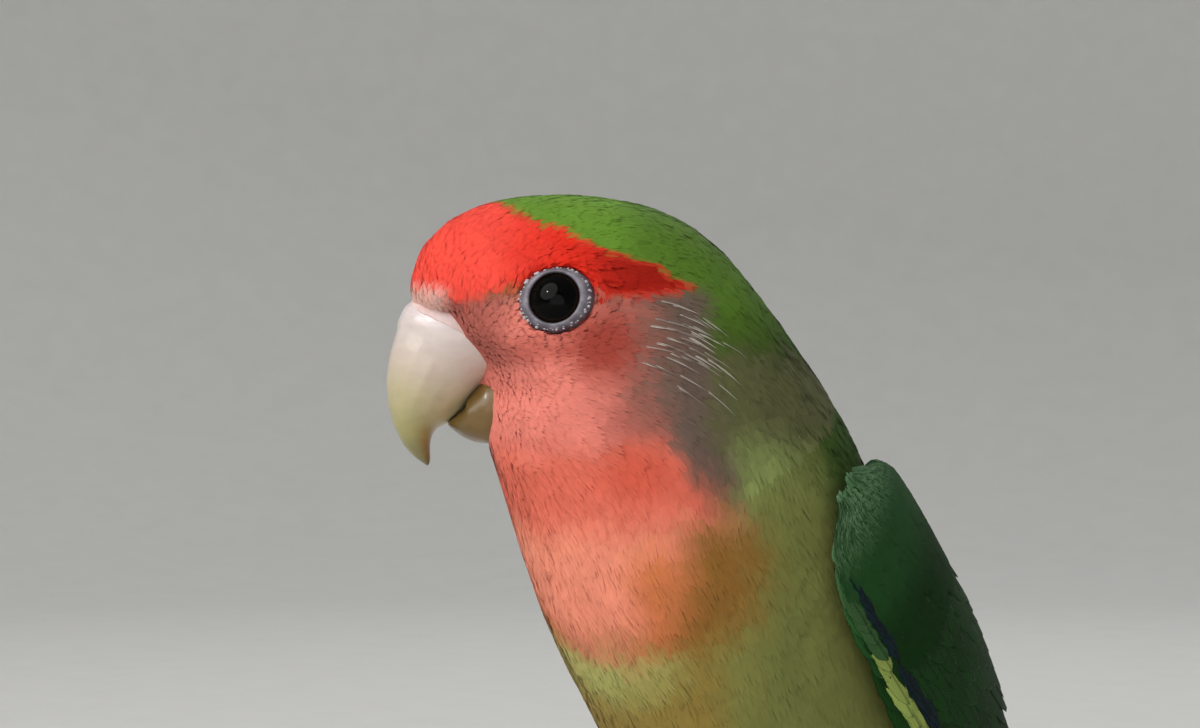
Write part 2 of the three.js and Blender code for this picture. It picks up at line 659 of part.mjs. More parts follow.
// A manifold solid as a named three.js mesh.
function node(name, solid, look) {
  const mesh = solid.getMesh();
  const geometry = new THREE.BufferGeometry();
  geometry.setAttribute("position", new THREE.BufferAttribute(new Float32Array(mesh.vertProperties), 3));
  geometry.setIndex(new THREE.BufferAttribute(new Uint32Array(mesh.triVerts), 1));
  const made = new THREE.Mesh(geometry, look);
  made.name = name;
  return made;
}

const look = (color, roughness) => new THREE.MeshStandardMaterial({ color, roughness, metalness: 0 });
const LOOKS = {
  head: [0xe0655a, 0.85],
  neck: [0xd07a5c, 0.85],
  torso: [0x8c963c, 0.85],
  rump: [0x2f8fc4, 0.85],
  tail: [0x3f8a3c, 0.7],
  wing: [0x1f5a2a, 0.6],
  thigh: [0x7d9440, 0.85],
  shank: [0x8d8a86, 0.6],
  foot: [0x8d8a86, 0.6],
  toe: [0x8d8a86, 0.6],
  claw: [0x45403c, 0.35],
  upper_bill: [0xd9cfa8, 0.35],
  lower_bill: [0xa08a4a, 0.4],
  cere: [0xe8d3cb, 0.7],
  eye: [0x0b0808, 0.08],
  eyelid: [0xa9aabd, 0.55],
};

// The look of a node goes by its name without a side or a number.
function dressed(name, solid) {
  const kind = name.replace(/_(left|right|\d)/g, "");
  return node(name, solid, look(...LOOKS[kind]));
}

function birdParts() {
  const parts = { ...bodyParts(), ...billParts() };
  parts.tail = tail();
  const legs = legParts();
  for (const [name, side] of [["left", 1], ["right", -1]]) {
    const { eye, lids, socket } = eyeParts(side);
    parts.head = without(parts.head, socket);
    parts[`eye_${name}`] = eye;
    parts[`eyelid_${name}`] = lids;
    parts[`wing_${name}`] = wing(side);
    for (const [kind, solid] of Object.entries(legs)) {
      const [first, ...rest] = kind.split("_");
      parts[[first, name, ...rest].join("_")] = side > 0 ? solid : solid.mirror([1, 0, 0]);
    }
  }
  return parts;
}

// The origin is on the floor, under the middle of the whole bird.
const bird = new THREE.Group();
for (const [name, solid] of Object.entries(birdParts())) bird.add(dressed(name, solid));
const middle = new THREE.Box3().setFromObject(bird).getCenter(vec(0, 0, 0));
bird.position.set(-middle.x, -middle.y, 0);
export default bird;
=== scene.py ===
"""A peach-faced lovebird, life size and still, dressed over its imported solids.

Places and sizes are in millimetres in the row frame until a mesh is made, and meshes are in metres.
"""

from __future__ import annotations

import itertools
import logging
import math
import sys
from dataclasses import dataclass, field
from enum import Enum
from typing import Callable, Sequence

import bmesh
import bpy
import numpy as np
from bmesh.types import BMesh
from bpy.types import Material, Mesh
from mathutils import Matrix, Vector
from mathutils.bvhtree import BVHTree

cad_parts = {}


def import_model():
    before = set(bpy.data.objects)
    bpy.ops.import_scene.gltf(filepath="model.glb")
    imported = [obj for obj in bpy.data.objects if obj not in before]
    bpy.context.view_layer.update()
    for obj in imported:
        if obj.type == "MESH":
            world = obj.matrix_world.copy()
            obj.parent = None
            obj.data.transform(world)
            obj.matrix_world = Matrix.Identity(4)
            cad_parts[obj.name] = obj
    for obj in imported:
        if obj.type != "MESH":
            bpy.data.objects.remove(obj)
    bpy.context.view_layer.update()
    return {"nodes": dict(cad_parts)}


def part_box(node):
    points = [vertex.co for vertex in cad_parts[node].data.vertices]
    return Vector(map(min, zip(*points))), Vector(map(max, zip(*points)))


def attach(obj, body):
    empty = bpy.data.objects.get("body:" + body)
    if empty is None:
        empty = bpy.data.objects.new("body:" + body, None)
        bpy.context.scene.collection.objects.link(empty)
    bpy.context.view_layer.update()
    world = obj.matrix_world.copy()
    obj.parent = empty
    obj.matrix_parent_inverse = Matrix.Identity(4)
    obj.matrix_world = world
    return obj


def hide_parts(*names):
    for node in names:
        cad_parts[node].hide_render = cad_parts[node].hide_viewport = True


MM = 0.001
SEED = 23
SIDES = ("left", "right")
Array = np.ndarray
Draw = np.random.Generator
Pair = tuple[float, float]
Triple = tuple[float, float, float]
Stations = Sequence[Pair]
log = logging.getLogger("lovebird")


def to_light(colour: Sequence[float]) -> Array:
    """A screen colour from 0 to 255 as light from 0 to 1, by the usual screen curve."""
    shares = np.array(colour) / 255
    return np.where(shares <= 0.04045, shares / 12.92, ((shares + 0.055) / 1.055) ** 2.4)


class Tint(Enum):
    """The bird's colours, as red, green and blue from 0 to 255. Some carry painted light or shade, as noted
    at each.
    """

    # The red's lit front: paler and pinker than the cap, a painted highlight over the real red.
    LIT_FOREHEAD = (240, 78, 64)
    CAP = (222, 44, 28)
    BROW = (150, 24, 12)
    CROWN = (98, 138, 44)
    CROWN_REAR = (82, 116, 36)
    # Green of the nape, darkened as painted shade because the nape is turned from the light.
    SHADED_NAPE = (46, 64, 16)
    MANTLE = (54, 88, 26)
    NECK_SIDE = (92, 94, 60)
    NECK_LOW = (150, 166, 96)
    CHEEK = (224, 128, 114)
    CHEEK_DEEP_AND_SHADE = (150, 58, 46)
    # A deeper rose, also used for the painted shadow under the eye.
    CHEEK_REAR = (176, 98, 86)
    MAUVE = (102, 86, 76)
    LORE = (164, 88, 78)
    THROAT = (216, 106, 86)
    ROSY = (204, 80, 58)
    BREAST = (232, 140, 114)
    WARM = (206, 118, 74)
    # Brownish olive at the bib's rear edge: partly the real change to olive, partly painted shade where the
    # light falls off.
    SHADED_BREAST_EDGE = (140, 98, 44)
    BELLY = (170, 140, 62)
    # A painted pool of light: the paler patch on the lit side of the belly.
    LIT_BELLY_PATCH = (198, 196, 114)
    # The olive of the flank, darkened as the painted shadow of the wing.
    SHADED_FLANK = (102, 90, 20)
    VENT = (136, 152, 60)
    RUMP = (28, 128, 184)
    BILL_EDGE = (236, 196, 184)
    STREAK = (226, 220, 210)
    WING = (16, 50, 12)
    WING_LIGHT = (22, 62, 18)
    # Painted highlights: the pale sheen on the bend of the wing and the lit green of its shoulder.
    WING_BEND_HIGHLIGHT = (112, 148, 108)
    WING_SHOULDER_HIGHLIGHT = (46, 96, 46)
    WING_EDGE = (146, 164, 84)
    WING_RIM = (58, 92, 52)
    WING_BLUE = (18, 34, 40)
    QUILL_DARK = (18, 24, 16)
    PRIMARY = (16, 42, 24)
    TAIL = (46, 110, 38)
    TAIL_RED = (206, 70, 34)
    TAIL_TIP = (66, 130, 96)

    @property
    def linear(self) -> Array:
        """The colour as light, red, green and blue from 0 to 1."""
        return to_light(self.value)


def lights(*tints: Tint) -> list[Array]:
    """Several tints as light."""
    return [tint.linear for tint in tints]


def sloping(slope: float) -> tuple[Array, Array]:
    """The ways down to the rear at a slope in degrees, and square to that, up and to the rear."""
    turn = math.radians(slope)
    return np.array([0, math.cos(turn), -math.sin(turn)]), np.array([0, math.sin(turn), math.cos(turn)])


def unit(vectors: Array) -> Array:
    """Vectors scaled to a length of one."""
    return vectors / np.maximum(np.linalg.norm(vectors, axis=-1, keepdims=True), 1e-9)


def ease(low: float | Array, high: float | Array, values: Array) -> Array:
    """A soft step.

    Args:
        low: The value at which it starts.
        high: The value at which it is full.
        values: The values to look up.

    Returns:
        Shares from 0 to 1.
    """
    share = np.clip((values - low) / (high - low), 0, 1)
    return share * share * (3 - 2 * share)


def along_line(values: Array, stations: Stations) -> Array:
    """Values looked up on a line through stations, each a place and its value."""
    places, heights = zip(*stations)
    return np.interp(values, places, heights)


def wander(points: Array, size: float, seed: int = 0) -> Array:
    """A slow irregular wave over space.

    Args:
        points: Places in millimetres.
        size: How far apart its swells are.
        seed: Which wave it is.

    Returns:
        Values from about -1 to 1.
    """
    draw = np.random.default_rng(SEED + seed)
    total = np.zeros(len(points))
    for octave in range(4):
        ways = unit(draw.normal(size=(3, 3))) * (2 * math.pi / (size * 0.62**octave))
        phases = draw.uniform(0, 2 * math.pi, 3)
        total += np.sin(points @ ways.T + phases).sum(1) * 0.24 * 0.7**octave
    return total


def centre_of(node: str) -> Array:
    """The middle of a node's box in millimetres."""
    low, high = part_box(node)
    return (np.array(low) + np.array(high)) / 2 / MM


@dataclass(frozen=True)
class Stance:
    """How the bird stands: its own origin and its head's, worked out from the feet and the eyes.

    The origin lies on the floor, foot_ahead in front of the feet's middle, and the head's origin lies
    behind and below the eyes by eye_in_head.
    """

    origin: Array
    head: Array
    head_turn: float = 45.0
    foot_ahead: float = 9.5
    eye_in_head: Pair = (1.31, 0.36)

    @classmethod
    def from_frame(cls) -> "Stance":
        """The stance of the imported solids."""
        feet, eyes = (sum(centre_of(f"{part}_{side}") for side in SIDES) / 2 for part in ("foot", "eye"))
        made = cls(origin=np.zeros(3), head=np.zeros(3))
        origin = np.array([feet[0], feet[1] - made.foot_ahead, 0.0])
        forward, up = made.eye_in_head
        head = eyes - made.forward * forward - made.up * up
        return cls(origin=origin, head=head)

    @property
    def forward(self) -> Array:
        """The way the head faces."""
        turn = math.radians(self.head_turn)
        return np.array([-math.sin(turn), -math.cos(turn), 0])

    @property
    def left(self) -> Array:
        """The head's left."""
        turn = math.radians(self.head_turn)
        return np.array([math.cos(turn), -math.sin(turn), 0])

    @property
    def up(self) -> Array:
        """Straight up."""
        return np.array([0.0, 0.0, 1.0])

    def in_head(self, forward: float, up: float, left: float = 0.0) -> Array:
        """A place given from the head's origin."""
        return self.head + self.forward * forward + self.up * up + self.left * left

    def in_bird(self, x: float, y: float, z: float) -> Array:
        """A place given from the point on the floor that the torso's sizes are measured from."""
        return self.origin + np.array([x, y, z])


class Spine:
    """The line from face to tail that feathers follow."""

    HEAD_KNOTS = ((17, -1), (8, -1), (-1, -3), (-9, -9))
    BODY_KNOTS = ((-3, -7.5, 100), (0, 1, 87), (0, 12, 67), (0, 27, 47), (0, 41, 33), (0, 52, 23))
    STATIONS = 160
    ROUNDS = 14
    AT_ONCE = 20_000

    def __init__(self, stance: Stance) -> None:
        """Draws the line through the body.

        Args:
            stance: How the bird stands.
        """
        head = [stance.in_head(*knot) for knot in self.HEAD_KNOTS]
        knots = np.array(head + [stance.in_bird(*knot) for knot in self.BODY_KNOTS])
        places = np.linspace(0, len(knots) - 1, self.STATIONS)
        line = np.stack([np.interp(places, range(len(knots)), knots[:, k]) for k in range(3)], 1)
        for _ in range(self.ROUNDS):
            line[1:-1] = (line[:-2] + 2 * line[1:-1] + line[2:]) / 4
        self.line = line
        self.places = places
        self.ways = unit(np.gradient(line, axis=0))
        over = stance.up - self.ways * (self.ways @ stance.up)[:, None]
        self.backs = unit(over)

    def nearest(self, points: Array) -> Array:
        """The number of the closest station for each point."""
        found = np.empty(len(points), int)
        for start in range(0, len(points), self.AT_ONCE):
            part = points[start : start + self.AT_ONCE]
            gaps = part @ self.line.T * -2 + (self.line**2).sum(1)
            found[start : start + self.AT_ONCE] = gaps.argmin(1)
        return found

    def unwrap(self, points: Array) -> tuple[Array, Array, Array]:
        """How far along and around the spine points lie, and how dorsal they are.

        Args:
            points: Places in millimetres.

        Returns:
            Knots passed, angles from -1 to 1 with 0 on the back, and cosines that are 1 there.
        """
        station = self.nearest(points)
        out = points - self.line[station]
        sides = np.cross(self.ways[station], self.backs[station])
        high = (out * self.backs[station]).sum(1)
        wide = (out * sides).sum(1)
        return self.places[station], np.arctan2(wide, high) / math.pi, high / np.hypot(high, wide)


class Sight:
    """Where the camera stands: level with the head, and straight out from its left side."""

    DISTANCE = 300.0
    AIM = (2.78, -6.0)
    RIGHT = np.array([math.sqrt(0.5), math.sqrt(0.5), 0.0])
    BACK = np.array([math.sqrt(0.5), -math.sqrt(0.5), 0.0])


class Layers:
    """Tints laid over one another at many points."""

    def __init__(self, count: int, tint: Tint) -> None:
        """Starts with one tint at every point."""
        self.colour = np.tile(tint.linear, (count, 1))

    def lay(self, tint: Tint | Array, mask: Array) -> None:
        """Lays a tint, or each point's own colour, over what is there, as strongly as a mask says."""
        over = tint.linear if isinstance(tint, Tint) else tint
        self.colour = self.colour + (over - self.colour) * np.clip(mask, 0, 1)[:, None]


@dataclass(frozen=True)
class Site:
    """Where points lie: on the profile, along the spine and from 1 on the back to -1 below.

    A slow wave, soft, and a quick one, fine, break up the borders of markings.
    """

    forward: Array
    up: Array
    knot: Array
    dorsal: Array
    soft: Array
    fine: Array

    @property
    def torso(self) -> Array:
        """How far points are past the neck."""
        return ease(3.2, 4.6, self.knot)

    def spot(self, ahead: float, high: float, wide: float, tall: float) -> Array:
        """A soft oval spot on the profile."""
        away = np.hypot((self.forward - ahead) / wide, (self.up - high) / tall)
        return ease(1.5, 0.3, away + self.fine * 0.2)


class Markings:
    """The plumage's colours as a function of place, for the skin and the coat alike.

    Places on either side are folded onto the left profile as the camera sees it. On it, BIB_REAR gives
    places forward by depth under the head's origin, and BIB_FOOT and RED_FOOT heights by places forward.
    """

    BIB_REAR = ((-4, -13), (4, -13.6), (10, -13), (14, -13.4), (20, -16.5), (27, -18), (36, -17))
    BIB_FOOT = ((-22, -35), (-15, -36.2), (-8, -38.4), (-5, -38), (3, -36))
    BIB_BLUR = ((8, 2.2), (22, 3), (30, 6.5))
    RED_FOOT = ((-14, 2.2), (-9, 1.5), (-3, 1.9), (2, 3.4), (7, 2.6), (12, 1.2), (18, 1.8))
    RED_SLOPE = 2.32
    RED_RISE = 8.3
    NECK_FOOT = 82.0
    NECK_AHEAD = -12.0

    def __init__(self, stance: Stance, spine: Spine) -> None:
        """Keeps what places are measured from."""
        self.stance = stance
        self.spine = spine

    def profile(self, points: Array) -> tuple[Array, Array]:
        """Folds both sides of the bird onto its left profile.

        Args:
            points: Places in millimetres.

        Returns:
            Millimetres forward of the head's origin and up from it, as the profile shows them.
        """
        stance = self.stance
        height = points[:, 2]
        turn = np.radians(along_line(height, [(self.NECK_FOOT, 0), (108, stance.head_turn)]))
        share = along_line(height, [(self.NECK_FOOT, 0), (117, 1)])[:, None]
        axis = stance.head[:2] * share + stance.in_bird(0, self.NECK_AHEAD, 0)[:2] * (1 - share)
        ahead = np.stack([-np.sin(turn), -np.cos(turn)], 1)
        left = np.stack([np.cos(turn), -np.sin(turn)], 1)
        offset = points[:, :2] - axis
        forward = (offset * ahead).sum(1)[:, None]
        aside = np.abs((offset * left).sum(1))[:, None]
        folded = axis + forward * ahead + aside * left - stance.head[:2]
        grown = Sight.DISTANCE / (Sight.DISTANCE - folded @ Sight.BACK[:2])
        right, up = Sight.AIM
        seen_right = right + (folded @ Sight.RIGHT[:2] - right) * grown
        return -seen_right, up + (height - stance.head[2] - up) * grown

    def paint(self, points: Array) -> Array:
        """The colour of the plumage at each point, as light."""
        forward, up = self.profile(points)
        knot, _, dorsal = self.spine.unwrap(points)
        site = Site(forward, up, knot, dorsal, wander(points, 9) * 1.2, wander(points, 2.2, 5) * 0.6)
        behind = along_line(-up, self.BIB_REAR) - forward + site.soft
        beneath = along_line(forward, self.BIB_FOOT) - up + site.soft
        blur = along_line(-up, self.BIB_BLUR)
        layers = self.body(site)
        back, foot = behind + site.fine, beneath + site.fine
        # The bib's rear edge turns brownish olive, partly its own colour and partly painted shade.
        layers.lay(Tint.SHADED_BREAST_EDGE, ease(8, -2, back) * ease(3.4, -1.5, foot) * ease(-22, -28, up))
        layers.lay(Tint.MAUVE, ease(4.6, 0.5, back) * ease(-25, -18, up) * ease(3.4, 0.5, up))
        inside = ease(blur, blur * -1.2, back) * ease(4.2, -3.6, foot)
        layers.lay(self.bib(site, behind).colour, inside * ease(3.5, 0, up))
        self.crown(site, layers)
        return layers.colour

    @staticmethod
    def body(site: Site) -> Layers:
        """The greens of nape, back and belly, the grey-green side of the neck and the blue rump."""
        forward, up, soft, torso = site.forward, site.up, site.soft, site.torso
        dorsal = site.dorsal
        below = ease(0.1, -0.5, dorsal + soft * 0.06)
        before_rump = ease(6.6, 6.0, site.knot)
        side = ease(0.72, 0.25, dorsal + soft * 0.06) * (1 - torso * 0.6)
        layers = Layers(len(up), Tint.MANTLE)
        lay = layers.lay
        lay(Tint.CROWN_REAR, ease(-3, -11, forward) * (1 - torso))
        # The nape's green, darkened with painted shade.
        lay(Tint.SHADED_NAPE, ease(3, -9, up + soft) * (1 - torso * 0.7))
        # The flanks' olive, darkened with the wing's painted shadow.
        lay(Tint.SHADED_FLANK, ease(0.55, 0.05, dorsal + soft * 0.05) * torso)
        lay(Tint.BELLY, below * torso)
        # More of the darkened flank towards the rump: painted shadow of the wing.
        lay(Tint.SHADED_FLANK, ease(-13, -24, forward + soft) * torso * before_rump * ease(0.4, 0, dorsal))
        # A painted pool of light on the belly's lit side.
        lay(Tint.LIT_BELLY_PATCH, site.spot(-4.6, -40.5, 7.5, 4.4))
        lay(Tint.VENT, below * ease(6.6, 7.4, site.knot))
        lay(Tint.RUMP, ease(0.1, 0.5, dorsal + soft * 0.08) * ease(5.2, 5.9, site.knot))
        lay(Tint.NECK_SIDE, side * ease(2, -6, up + soft))
        low = side * ease(-13, -21, up + soft + site.fine) * ease(-14, -20, forward + soft)
        lay(Tint.NECK_LOW, low * 0.85)
        return layers

    @staticmethod
    def bib(site: Site, behind: Array) -> Layers:
        """The rosy cheek, throat and breast, as if they covered everything.

        Args:
            site: Where the points lie.
            behind: Millimetres behind the bib's rear edge.

        Returns:
            The layers of the bib.
        """
        forward, up, soft, fine = site.forward, site.up, site.soft, site.fine
        layers = Layers(len(up), Tint.CHEEK)
        lay = layers.lay
        lay(Tint.CHEEK_REAR, ease(-0.5, -7.5, forward + soft) * ease(-22, -13, up))
        lay(Tint.CHEEK_DEEP_AND_SHADE, site.spot(-3.6, -3.9, 4.8, 4.2) * 0.95)
        # This second spot is painted shade: a darker band under the eye.
        lay(Tint.CHEEK_DEEP_AND_SHADE, site.spot(4.0, -4.3, 3.6, 1.7) * 0.5)
        lay(Tint.THROAT, ease(-13, -19, up + soft))
        lay(Tint.BREAST, ease(-22, -28, up + soft + fine))
        lay(Tint.MAUVE, ease(-8, -2.5, behind + fine) * ease(-18, -8, up) * 0.85)
        lay(Tint.MAUVE, ease(-4.2, 0, behind + fine) * ease(-27, -15, up))
        lay(Tint.ROSY, site.spot(-7.4, -18.6, 4.4, 3.4) * 0.6)
        lay(Tint.WARM, ease(-4, -10.5, forward + soft) * ease(-24, -30, up + soft))
        # The bib's rear edge turns brownish olive, partly its own colour and partly painted shade.
        lay(Tint.SHADED_BREAST_EDGE, ease(-9.5, -16, forward + soft + fine) * ease(-23, -28, up + soft))
        lay(Tint.LORE, ease(5, 10, forward) * ease(-9, -4, up) * 0.85)
        return layers

    def crown(self, site: Site, layers: Layers) -> None:
        """Lays the green crown, the red forehead and brow, and the pale edge over the bill."""
        forward, up, soft, fine = site.forward, site.up, site.soft, site.fine
        lay = layers.lay
        low = along_line(forward, self.RED_FOOT)
        ahead = forward - self.RED_SLOPE * (up - self.RED_RISE)
        red = ease(-1.5, 1.5, ahead + soft + fine * 1.4) * ease(-1.1, 1.1, up - low + fine)
        red = red * ease(-14.4, -12.2, forward + soft * 0.5)
        green = ease(0.6, -1.2, ahead + soft + fine) * ease(0.5, 4, up) * ease(-11, -4, forward)
        lay(Tint.CROWN, green * (1 - site.torso))
        # The front of the red is painted paler and pinker, a highlight where it faces the light.
        lay(Tint.LIT_FOREHEAD, red)
        lay(Tint.CAP, red * ease(9.5, 1, forward + soft))
        lay(Tint.BROW, red * ease(0.5, -8, forward + soft))
        lay(Tint.BILL_EDGE, ease(2.2, 0.4, up - low) * ease(13, 15.5, forward) * 0.7)


class Value:
    """A shader value whose arithmetic adds Math nodes."""

    def __init__(self, shader: "Shader", socket: bpy.types.NodeSocket) -> None:
        """Wraps a socket of a shader."""
        self.shader = shader
        self.socket = socket

    def math(self, operation: str, *others: "Value | float") -> "Value":
        """One Math node on this value and others."""
        inputs = dict(enumerate((self, *others)))
        return self.shader.node("ShaderNodeMath", {"operation": operation}, inputs)

    def __add__(self, other: "Value | float") -> "Value":
        """Sum."""
        return self.math("ADD", other)

    def __mul__(self, other: "Value | float") -> "Value":
        """Product."""
        return self.math("MULTIPLY", other)

    def __sub__(self, other: "Value | float") -> "Value":
        """Difference."""
        return self.math("SUBTRACT", other)

    def __rsub__(self, other: float) -> "Value":
        """Difference from a number."""
        return (self * -1.0) + other

    __radd__ = __add__
    __rmul__ = __mul__

    def step(self, low: float, high: float) -> "Value":
        """A soft step from 0 to 1 between two values."""
        inputs = {"Value": self, "From Min": low, "From Max": high}
        return self.shader.node("ShaderNodeMapRange", {"interpolation_type": "SMOOTHSTEP"}, inputs)


class Shader:
    """A material and the nodes that it is made of.

    The Mix node's colours have numbers and no names of their own among its sockets.
    """

    MIX_FIRST = 6
    MIX_SECOND = 7
    MIXED = 2

    def __init__(self, name: str, roughness: float, **constants: float) -> None:
        """Starts a material with one Principled BSDF.

        Args:
            name: The material's name.
            roughness: How rough it is.
            **constants: Other sockets' numbers, with _ for a space in their names.
        """
        self.material = bpy.data.materials.new(name)
        self.material.use_nodes = True
        self.tree = self.material.node_tree
        self.surface = self.tree.nodes["Principled BSDF"]
        self.surface.inputs["Roughness"].default_value = roughness
        for key, number in constants.items():
            self.surface.inputs[key.replace("_", " ")].default_value = number

    def node(self, kind: str, settings: dict, inputs: dict, output: int | str = 0) -> Value:
        """Adds a node.

        Args:
            kind: The node's type.
            settings: Its settings, set first.
            inputs: Values or links of its sockets, by name or number.
            output: The socket that is wanted.

        Returns:
            That output.
        """
        made = self.tree.nodes.new(kind)
        for key, setting in settings.items():
            if key == "stops":
                ramp = made.color_ramp
                while len(ramp.elements) < len(setting):
                    ramp.elements.new(0.5)
                for element, (place, colour) in zip(ramp.elements, setting):
                    element.position = place
                    element.color = (*colour, 1)
            else:
                setattr(made, key, setting)
        for key, given in inputs.items():
            if isinstance(given, Value):
                self.tree.links.new(given.socket, made.inputs[key])
            else:
                made.inputs[key].default_value = given
        return Value(self, made.outputs[output])

    def under(self, *reach: float) -> None:
        """How far red, green and blue light goes under the surface, in millimetres."""
        self.surface.inputs["Subsurface Radius"].default_value = [part * MM for part in reach]

    def feed(self, name: str, value: Value) -> None:
        """Links a value to a socket of the surface."""
        self.tree.links.new(value.socket, self.surface.inputs[name])

    def place(self) -> Value:
        """Object coordinates."""
        return self.node("ShaderNodeTexCoord", {}, {}, "Object")

    def attribute(self, name: str) -> Value:
        """A mesh attribute as a vector."""
        return self.node("ShaderNodeAttribute", {"attribute_name": name}, {}, "Vector")

    def parts(self, vector: Value) -> list[Value]:
        """The three numbers of a vector."""
        split = self.node("ShaderNodeSeparateXYZ", {}, {0: vector}, "X")
        return [Value(self, split.socket.node.outputs[axis]) for axis in "XYZ"]

    def noise(self, place: Value, scale: float, detail: float = 3.0) -> Value:
        """A noise from 0 to 1."""
        return self.node("ShaderNodeTexNoise", {}, {"Vector": place, "Scale": scale, "Detail": detail})

    def vector(self, operation: str, inputs: dict, output: int | str = 0) -> Value:
        """One Vector Math node."""
        return self.node("ShaderNodeVectorMath", {"operation": operation}, inputs, output)

    def stretched(self, place: Value, scale: Sequence[float]) -> Value:
        """A place with each of its directions scaled."""
        return self.vector("MULTIPLY", {0: place, 1: tuple(scale)})

    def towards(self, place: Value, way: Array, origin: Array) -> Value:
        """Millimetres from an origin in one direction."""
        offset = self.vector("SUBTRACT", {0: place, 1: tuple(origin * MM)})
        return self.vector("DOT_PRODUCT", {0: offset, 1: tuple(way / MM)}, "Value")

    def ramp(self, value: Value, stops: Sequence[tuple[float, Sequence[float]]]) -> Value:
        """Colours at stops, looked up by a value from 0 to 1."""
        return self.node("ShaderNodeValToRGB", {"stops": stops}, {"Fac": value}, "Color")

    def blend(self, share: Value, low: Value | Sequence[float], high: Value | Sequence[float]) -> Value:
        """Mixes two colours, each a value or a constant."""
        first, second = (given if isinstance(given, Value) else (*given, 1) for given in (low, high))
        inputs = {0: share, self.MIX_FIRST: first, self.MIX_SECOND: second}
        return self.node("ShaderNodeMix", {"data_type": "RGBA"}, inputs, self.MIXED)

    def shaded(self, colour: Value, amount: Value) -> Value:
        """A colour made lighter or darker."""
        return self.vector("SCALE", {0: colour, "Scale": amount})

    def bump(self, height: Value, distance: float, strength: float = 1.0) -> None:
        """Raises the surface by a height, in metres at most distance."""
        inputs = {"Height": height, "Distance": distance, "Strength": strength}
        self.feed("Normal", self.node("ShaderNodeBump", {}, inputs, "Normal"))


def tone(red: float, green: float, blue: float) -> Triple:
    """A colour from 0 to 255 as light."""
    return tuple(float(part) for part in to_light((red, green, blue)))


@dataclass(frozen=True)
class DownFinish:
    """Soft body feathers, coloured by the tint that each carries."""

    name: str = "body_feather"
    rough: float = 0.75
    sheen: float = 0.02

    def make(self) -> Material:
        """Builds the material."""
        shader = Shader(self.name, self.rough, Sheen_Weight=self.sheen, Specular_IOR_Level=0.08)
        along, chance, _ = shader.parts(shader.attribute("strand"))
        # Each blade is painted darker towards its root, as shade where the tufts overlap, and its tone
        # varies at random by chance.
        light = along * 0.08 + chance * 0.13 + 0.9
        mottle = shader.noise(shader.place(), 240.0) * 0.24 + 0.88
        shader.feed("Base Color", shader.shaded(shader.attribute("tint"), light * mottle))
        return shader.material


@dataclass(frozen=True)
class UnderFinish:
    """The skin under the coat, in the coat's own markings, matted with down."""

    name: str = "under_down"
    rough: float = 0.85

    def make(self) -> Material:
        """Builds the material."""
        shader = Shader(self.name, self.rough, Specular_IOR_Level=0.15)
        fleck = shader.noise(shader.place(), 900.0)
        shader.feed("Base Color", shader.shaded(shader.attribute("tint"), fleck * 0.3 + 0.8))
        shader.bump(fleck, 0.3 * MM)
        return shader.material


@dataclass(frozen=True)
class VaneFinish:
    """A firm feather with a shaft and barbs, coloured by the tint that it carries."""

    name: str = "firm_feather"
    rough: float = 0.55
    specular: float = 0.1

    def make(self) -> Material:
        """Builds the material."""
        shader = Shader(self.name, self.rough, Specular_IOR_Level=self.specular)
        across, along, chance = shader.parts(shader.attribute("vane"))
        off = across.math("ABSOLUTE")
        barb = (along - off * 0.9) * 15.0 + shader.noise(shader.place(), 500.0) * 3.0
        ridge = barb.math("SINE") * 0.5 + 0.5
        shaft = 1.0 - off.step(0.06, 0.2)
        light = ridge * 0.08 + chance * 0.1 + shader.noise(shader.place(), 200.0) * 0.3 + 0.76
        colour = shader.shaded(shader.attribute("tint"), light)
        shader.feed("Base Color", shader.blend(shaft * 0.35, colour, tone(24, 26, 18)))
        shader.feed("Roughness", ridge * 0.14 + (self.rough - 0.06))
        shader.bump(ridge * 0.35 + shaft, 0.12 * MM, 0.7)
        return shader.material


@dataclass(frozen=True)
class BillFinish:
    """Smooth horn, cream-pink at its root and yellow-green at its tip; the lower bill is a darker brown,
    painted shade under the upper bill.
    """

    stance: Stance
    name: str = "bill_horn"
    lower: bool = False

    def make(self) -> Material:
        """Builds the material."""
        gloss = {"Coat_Weight": 0.14, "Coat_Roughness": 0.18}
        shader = Shader(self.name, 0.3, Subsurface_Weight=0.12, IOR=1.5, **gloss)
        shader.under(1.2, 0.7, 0.4)
        place = shader.place()
        forward = shader.towards(place, self.stance.forward, self.stance.head)
        up = shader.towards(place, self.stance.up, self.stance.head)
        cloud = shader.noise(place, 130.0) - 0.5
        if self.lower:
            # The lower bill's brown is darkened as painted shade under the upper bill.
            share = (forward * 0.12 - 1.0 + cloud * 0.3).step(0.0, 1.0)
            colour = shader.ramp(share, [(0, tone(116, 90, 42)), (1, tone(100, 80, 38))])
        else:
            share = up * -0.056 + forward * 0.012 + cloud * 0.1 - 0.22
            stops = [
                (0.0, tone(218, 206, 206)),
                (0.3, tone(202, 186, 172)),
                (0.52, tone(186, 174, 138)),
                (0.76, tone(162, 154, 98)),
                (1.0, tone(84, 76, 48)),
            ]
            colour = shader.ramp(share, stops)
        growth = shader.noise(shader.stretched(place, (1.0, 1.0, 2.6)), 420.0, 5.0)
        flake = shader.noise(place, 1400.0)
        shader.feed("Base Color", shader.shaded(colour, growth * 0.22 + 0.88))
        shader.feed("Roughness", flake * 0.16 + 0.24)
        shader.bump(growth * 0.6 + flake * 0.25, 0.08 * MM)
        return shader.material


